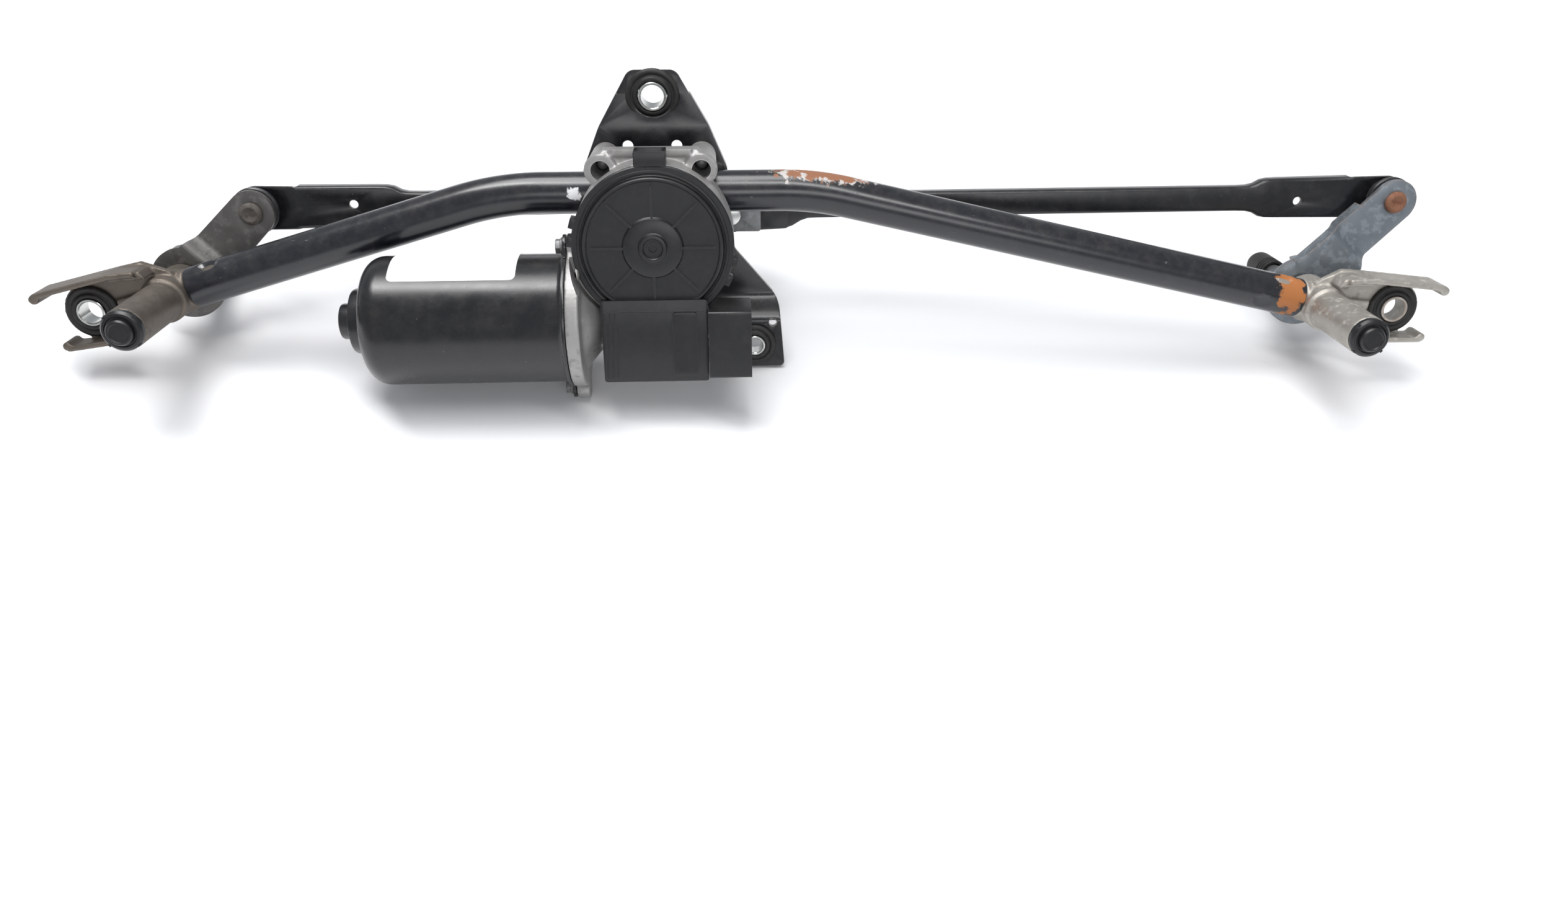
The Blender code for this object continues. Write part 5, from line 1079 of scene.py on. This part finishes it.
def contact_box():
    """The box under the lid that holds the contact board, with its ribs, clips and raised panel."""
    piece = begin("contact_box_shell")
    left, right, bottom, top = -28.2, 26.9, -71.5, -27.0
    front, back = -60.5, -53.4
    wall = 2.0
    outer = box_outline(left, right, bottom, top, 1.6)
    inner = box_outline(left + wall, right - wall, bottom + wall, -31.0, 0.8)
    add_prism([outer], front, front + wall)
    add_prism([outer, inner], front + wall - 0.2, back)
    for i in range(3):
        x = left + 1.3 + 2.6 * i
        add_prism([box_outline(x, x + 1.1, bottom + 2.0, -33.0, 0.4)], front - 0.7, front + 0.6)
    add_prism([box_outline(left + 9, right - 2, -33.6, -32.6, 0.3)], front - 0.5, front + 0.6)
    add_prism([box_outline(8.5, 21.5, -68, -33.5, 2.2)], front - 1.2, front + 0.8)
    for x in (-21.0, -6.0, 15.0):
        add_box((x, -56.4, bottom - 0.9), (x + 5.5, -53.6, bottom + 0.5))
    round_edges(piece, 0.35, 2, 40)
    cut_away(piece, lambda: add_box((right - 4, -57.7, -64.5), (right + 1, -55.5, -33.0)))
    settle(piece, FINISH["plastic"], "frame", "black_plastic")


def cover_clips():
    """The top clip with its metal tongue, and the snap tabs round the lid."""
    piece = begin("cover_clips")
    add_prism([box_outline(-8, 8, 40.3, 48.0, 0.8)], -56.4, -54.2)
    add_prism([box_outline(-8, -5.5, 40.3, 48.0, 0.5)], -54.4, -44.2)
    add_prism([box_outline(5.5, 8, 40.3, 48.0, 0.5)], -54.4, -44.2)
    add_prism([box_outline(-8, 8, 46.0, 48.0, 0.5)], -54.4, -44.2)
    for degrees in (163, 176, -12, -26):
        tab = [(41.0, -2.6), (43.7, -2.4), (43.7, 2.4), (41.0, 2.6)]
        add_prism([swing(tab, degrees)], -56.3, -48.2)
    round_edges(piece, 0.35, 2, 40)
    settle(piece, FINISH["plastic"], "frame", "black_plastic")
    piece = begin("cover_clip_tongues")
    add_prism([box_outline(-4.0, 4.0, 42.4, 45.6, 0.6)], -55.3, -46.0)
    round_edges(piece, 0.3, 2, 40)
    settle(piece, FINISH["housing"], "frame", "cast_alloy")


def connector():
    """The plug socket beside the contact box."""
    piece = begin("connector_socket_shell")
    left, right, bottom, top = 27.2, 49.5, -68.5, -32.0
    outline = rounded([(-66, bottom, 1.6), (-40, bottom, 1.6), (-40, top, 1.6), (-66, top, 1.6)])
    add_prism([outline], left, right, X)
    round_edges(piece, 0.5, 2, 60)

    def plug_room():
        room = rounded([(-63.8, bottom + 2.2, 1), (-42.2, bottom + 2.2, 1), (-42.2, top - 2.2, 1),
                        (-63.8, top - 2.2, 1)])
        add_prism([room], left + 5, right + 2, X)

    cut_away(piece, plug_room)

    def rim_room():
        add_bar((0, -57, 0), (0, -38, 0), POT_R + 0.6, sides=WIDE)

    cut_away(piece, rim_room)

    def pin_rooms():
        for i in range(5):
            z = -59.0 + 4.375 * i
            add_box((left - 1, -57.5, z - 1), (left + 6, -55.5, z + 1))

    cut_away(piece, pin_rooms)
    settle(piece, FINISH["plastic"], "frame", "black_plastic", "connector_shell")


# ---- levers, links and crank ------------------------------------------------------------------

HUB_FRONT, EYE_FRONT, LEVER_PLATE = 9.0, 16.0, 3.5
BALL_R = 5.5
CUP_R = 6.1                         # the room in a socket for its ball
BALL_DEPTH = 4.2                    # from a socket's mouth to its ball's middle
OPEN_GAP = 0.5                      # from the crank's ball to the open socket
SOCKET_FRONT = 21.8
WEB_Y, LINK_WALL = 29.0, 2.0
LEFT_LINK_SHIFT = 19.7


def lay_on(piece, spot, degrees):
    """Turns a piece drawn along X from the origin to its own direction, at its pin."""
    turn = Matrix.Rotation(math.radians(-degrees), 4, "Y")
    piece.data.transform(Matrix.Translation((spot[0], 0, spot[1])) @ turn)


def lever(end):
    """A joggled plate from the spindle to the ball stud, with one long edge folded back."""
    reach = end.reach
    neck = reach - 31.0
    eye = arc((reach, 0), 12.5, -85, 85, 30)
    hub = arc((0, 0), 20.0, 50, 310, 60)
    outline = eye + [(neck + 1, 13.0), (neck - 3, 13.6), (neck - 7, 15.2)] + hub
    outline += [(neck - 7, -15.2), (neck - 3, -13.6), (neck + 1, -13.0)]
    holes = [circle((0, 0), 6.3), circle((reach, 0), 4.3)]

    def shape(u, v):
        return HUB_FRONT + (EYE_FRONT - HUB_FRONT) * smoothstep(neck - 8.0, neck + 1.0, u)

    def folded(point):
        return 8.9 < point.x < reach - 14.9 and point.z > 10.5

    steps = [neck - 8 + 0.9 * i for i in range(11)]
    piece = pressed(f"{end.tag}_pressed_lever", [outline, *holes], [(X, [9.0, reach - 15, *steps])], folded,
                    8.0, LEVER_PLATE, shape, 2.4)
    lay_on(piece, end.pivot, end.lever_turn)
    settle(piece, FINISH[f"{end.tag}_lever"], f"{end.tag}_lever", "zinc_plate", f"{end.tag}_lever",
           smooth=35)


def ball_profile(centre, last, radius=BALL_R):
    """Profile points round a ball, from its back to an angle in degrees."""
    turns = [math.radians(degrees) for degrees in range(0, last + 1, 5)]
    return [(radius * math.sin(a), centre + radius * math.cos(a)) for a in turns]


def turned_piece(name, spot, profile, look, body, slot, *nodes, axis=Y, smooth=30):
    piece = begin(name)
    add_turned((spot[0], 0, spot[1]), axis, profile)
    return settle(piece, FINISH[look], body, slot, *nodes, smooth=smooth)


def lever_stud(end):
    """The ball stud riveted through the lever's eye, its flattened head dished and rusty."""
    head, back = EYE_FRONT - GAP, EYE_FRONT + LEVER_PLATE
    centre = SOCKET_FRONT + BALL_DEPTH
    profile = [*ball_profile(centre, 145), (3.2, back + 1.2), (4.8, back + 1.0), (4.8, back + GAP),
               (4.0, back + GAP), (4.0, head), (6.3, head), (6.3, head - 0.7), (5.9, head - 1.5),
               (5.0, head - 2.2),
               (4.1, head - 2.5), (3.2, head - 2.3), (2.2, head - 1.8), (1.2, head - 1.6), (0, head - 1.6)]
    turned_piece(f"{end.tag}_riveted_ball_stud", end.pin, profile, f"{end.tag}_rivet", f"{end.tag}_lever",
                 "rusty_steel", f"{end.tag}_lever_ball_stud")


def socket(name, spot, front, body, node):
    """A moulded cup with a flanged mouth and a stepped back."""
    centre = front + BALL_DEPTH
    room = ball_profile(centre, 125, CUP_R)
    profile = [*room, (room[-1][0], front), (11.6, front), (12.4, front + 0.2), (13.0, front + 0.8),
               (13.0, front + 2.4), (12.6, front + 2.9), (10.6, front + 3.2), (10.2, front + 3.6),
               (10.2, front + 10.8),
               (9.8, front + 11.6), (8.8, front + 12.2), (5.2, front + 12.2), (4.8, front + 11.8),
               (0, front + 11.8)]
    piece = begin(name)
    add_turned((spot[0], 0, spot[1]), Y, profile)
    settle(piece, FINISH["socket"], body, "socket_plastic", node)


def link(end):
    """A pressed channel with wide ends, a slim middle and a moulded cup in each end."""
    line = Vector(CRANK_PIN) - Vector(end.pin)
    length = line.length
    turn = math.degrees(math.atan2(line.y, line.x))
    shift = LEFT_LINK_SHIFT if end is LEFT else 0.0
    upper = [(64, 11.4), (70, 11.2), (74, 10.4), (78, 8.2), (82, 7.3), (88, 7.1), (length - 50, 7.1),
             (length - 45, 7.3), (length - 41, 8.6), (length - 36, 11.6), (length - 32, 12.7)]
    near = arc((0, 0), 12.4, 96, 264, 40)
    far = arc((length, 0), 14.2, -84, 84, 40)
    outline = near + [(u, -v) for u, v in upper] + far + upper[::-1]
    holes = [circle((0, 0), 10.5), circle((length, 0), 10.5), circle((52, 1.5), 2.4, 24)]

    def shape(u, v):
        return WEB_Y + shift * max(0.0, min(1.0, (u - 20) / (length - 40)))

    def folded(point):
        return 21.9 < point.x < length - 33.9 and abs(point.z) > 5.5

    bends = [20.0, 22.0, length - 34, length - 20]
    piece = pressed(f"{end.tag}_pressed_link", [outline, *holes], [(X, bends)], folded, 7.0, LINK_WALL,
                    shape, 2.0)
    lay_on(piece, end.pin, turn)
    settle(piece, FINISH["steel"], f"{end.tag}_link", "black_steel", f"{end.tag}_link_rod", smooth=35)
    for place, spot, front in (("lever", end.pin, SOCKET_FRONT), ("crank", CRANK_PIN, SOCKET_FRONT + shift)):
        socket(f"{end.tag}_{place}_cup", spot, front, f"{end.tag}_link", f"{end.tag}_link_{place}_socket")


def crank():
    """The crank plate, its nut and the ball stud in its end."""
    piece = begin("crank_plate")
    hub = arc((0, 0), 12.5, 65, 295, 60)
    outline = rounded([(18, -9.5, 3), (57.2, -9.5, 1.6), (57.2, 9.5, 1.6), (18, 9.5, 3)])
    add_prism([hub + outline, circle((0, 0), 4.7), circle(CRANK_PIN, 4.3)], 11.0, 14.5)
    round_edges(piece, 0.35, 2, 50)
    settle(piece, FINISH["zinc"], "crank", "zinc_plate", "crank_arm")
    piece = begin("crank_hex_nut")
    add_prism([circle((0, 0), 7.4, 6), circle((0, 0), 4.7)], 14.8, 20.6)
    round_edges(piece, 0.4, 2, 40)
    settle(piece, FINISH["zinc"], "crank", "zinc_plate", "crank_nut")
    centre = SOCKET_FRONT - OPEN_GAP - BALL_R
    profile = [*ball_profile(centre, 75), (4.0, 14.8), (4.0, 10.7), (6.0, 10.7), (5.8, 10.1), (5.2, 9.8),
               (0, 9.8)]
    turned_piece("crank_pin_ball_stud", CRANK_PIN, profile, "bright", "crank", "bright_steel",
                 "crank_ball_stud")
    back = SOCKET_FRONT + 12.5
    centre = SOCKET_FRONT + LEFT_LINK_SHIFT - OPEN_GAP - BALL_R
    profile = [*ball_profile(centre, 80), (6.0, back + 0.8), (6.0, back), (0, back)]
    turned_piece("link_back_ball_stud", CRANK_PIN, profile, "bright", "right_link", "bright_steel",
                 "right_link_outer_ball_stud")


def spindle(end):
    """The turned spindle with its shoulder and cone, and the ribbed rubber cap on its arm end."""
    profile = [(0, 64), (3.4, 64), (4.0, 63.4), (4.0, 50), (5.2, 50), (6.0, 42), (6.0, 15.8), (9.2, 15.3),
               (9.5, 15.0),
               (9.5, 12.8), (6.0, 12.8), (6.0, -71.0), (0, -71.0)]
    turned_piece(f"{end.tag}_turned_spindle", end.pivot, profile, "zinc", f"{end.tag}_lever", "zinc_plate",
                 f"{end.tag}_spindle")
    start, back = 47.0, 72.0
    loop = [(0, back), (3.4, back), (5.6, back - 0.6), (7.0, back - 1.8), (7.8, back - 3.6),
            (8.0, back - 5.6),
            (8.0, start + 8.6)]
    for i in range(3):
        place = start + 7.8 - 2.6 * i
        loop += [(8.0, place), (7.0, place - 0.5), (7.0, place - 1.3), (8.0, place - 1.8)]
    loop += [(8.0, start + 0.5), (7.5, start), (6.3, start), (6.3, 64.3), (0, 64.3)]
    turned_piece(f"{end.tag}_ribbed_arm_cap", end.pivot, loop, "rubber", f"{end.tag}_lever", "rubber",
                 f"{end.tag}_arm_end_cap", smooth=40)


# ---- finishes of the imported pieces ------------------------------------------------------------

def dress(look, *nodes):
    """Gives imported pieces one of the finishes."""
    for node in nodes:
        for slot in frame["nodes"][node].material_slots:
            slot.material = FINISH[look]


def dress_packed_pieces():
    """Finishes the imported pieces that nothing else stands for."""
    looks = {"plastic": ["brush_holder"],
             "rubber": ["cover_gasket"],
             "bright": ["output_shaft", "armature_shaft"],
             "bronze": ["left_spindle_bush", "right_spindle_bush", "motor_end_bush", "worm_bush",
                        "output_bush"],
             "copper": ["armature_core", "commutator"],
             "ferrite": ["front_magnet", "rear_magnet"],
             "carbon": ["upper_brush", "lower_brush"],
             "nylon": ["worm_wheel"],
             "board": ["contact_board"]}
    for look, nodes in looks.items():
        dress(look, *nodes)


# ---- stage ------------------------------------------------------------------------------------

CAMERA_SPOT = (35.0, -662.1, 160.6)     # in the gear frame
CAMERA_DIP = 24.5                       # degrees down
CAMERA_TURN = 3.0                       # degrees towards +X
CAMERA_LENS = 27.76
FLOOR_SIZE, FLOOR_DROP = 6.0, 0.0002    # metres
SKY_STRENGTH = 0.42
SUN_STRENGTH, SUN_SPREAD, SUN_LEAN = 1.9, 35.0, (-16.0, -10.0)  # the last two in degrees


def camera():
    dip, turn = math.radians(CAMERA_DIP), math.radians(CAMERA_TURN)
    ahead = Vector((math.sin(turn) * math.cos(dip), math.cos(turn) * math.cos(dip), -math.sin(dip)))
    side = Vector((math.cos(turn), -math.sin(turn), 0))
    over = side.cross(ahead)
    lens = bpy.data.cameras.new("camera")
    lens.lens = CAMERA_LENS
    lens.sensor_width = 36
    lens.clip_start = 0.01
    eye = bpy.data.objects.new("camera", lens)
    bpy.context.scene.collection.objects.link(eye)
    turned = Matrix((side, over, -ahead)).transposed().to_4x4()
    place = Matrix.Translation(Vector(CAMERA_SPOT) * MM) @ turned
    eye.matrix_world = GEAR @ place
    bpy.context.scene.camera = eye


def soft_light(name, place, power, size):
    lamp = bpy.data.lights.new(name, "AREA")
    lamp.shape = "RECTANGLE"
    lamp.size, lamp.size_y = size
    lamp.energy = power
    body = bpy.data.objects.new(name, lamp)
    body.location = place
    body.rotation_euler = (-Vector(place)).to_track_quat("-Z", "Y").to_euler()
    bpy.context.scene.collection.objects.link(body)


def floor():
    bpy.ops.object.select_all(action="DESELECT")
    bpy.ops.mesh.primitive_plane_add(size=FLOOR_SIZE, location=(0, 0, -FLOOR_DROP))
    ground = bpy.context.object
    ground.name = "floor"
    material = bpy.data.materials.new("pale_floor")
    material.use_nodes = True
    shader = material.node_tree.nodes["Principled BSDF"]
    shader.inputs["Base Color"].default_value = (0.86, 0.86, 0.87, 1)
    shader.inputs["Roughness"].default_value = 0.75
    ground.data.materials.append(material)


def studio():
    world = bpy.data.worlds.new("studio")
    world.use_nodes = True
    sky_light = world.node_tree.nodes["Background"].inputs
    sky_light["Color"].default_value = (0.92, 0.95, 1.0, 1)
    sky_light["Strength"].default_value = SKY_STRENGTH
    bpy.context.scene.world = world
    bpy.context.scene.view_settings.view_transform = "Standard"
    lamp = bpy.data.lights.new("overhead", "SUN")
    lamp.energy = SUN_STRENGTH
    lamp.angle = math.radians(SUN_SPREAD)
    sky = bpy.data.objects.new("overhead", lamp)
    sky.rotation_euler = (*map(math.radians, SUN_LEAN), 0)
    bpy.context.scene.collection.objects.link(sky)
    soft_light("strip_over", (-0.1, -0.15, 1.1), 9, (1.6, 0.16))
    soft_light("low_front", (0.2, -1.6, 0.9), 6, (1.2, 0.5))


# ---- the whole assembly -----------------------------------------------------------------------

dress_packed_pieces()
bent_tube()
for wiper_end in ENDS:
    pivot_casting(wiper_end)
    barrel_cap(wiper_end)
    lever(wiper_end)
    lever_stud(wiper_end)
    link(wiper_end)
    spindle(wiper_end)
grommets()
motor_bracket()
gear_housing()
bracket_bolts()
motor_can()
motor_screws()
cover_lid()
contact_box()
cover_clips()
connector()
crank()
camera()
floor()
studio()
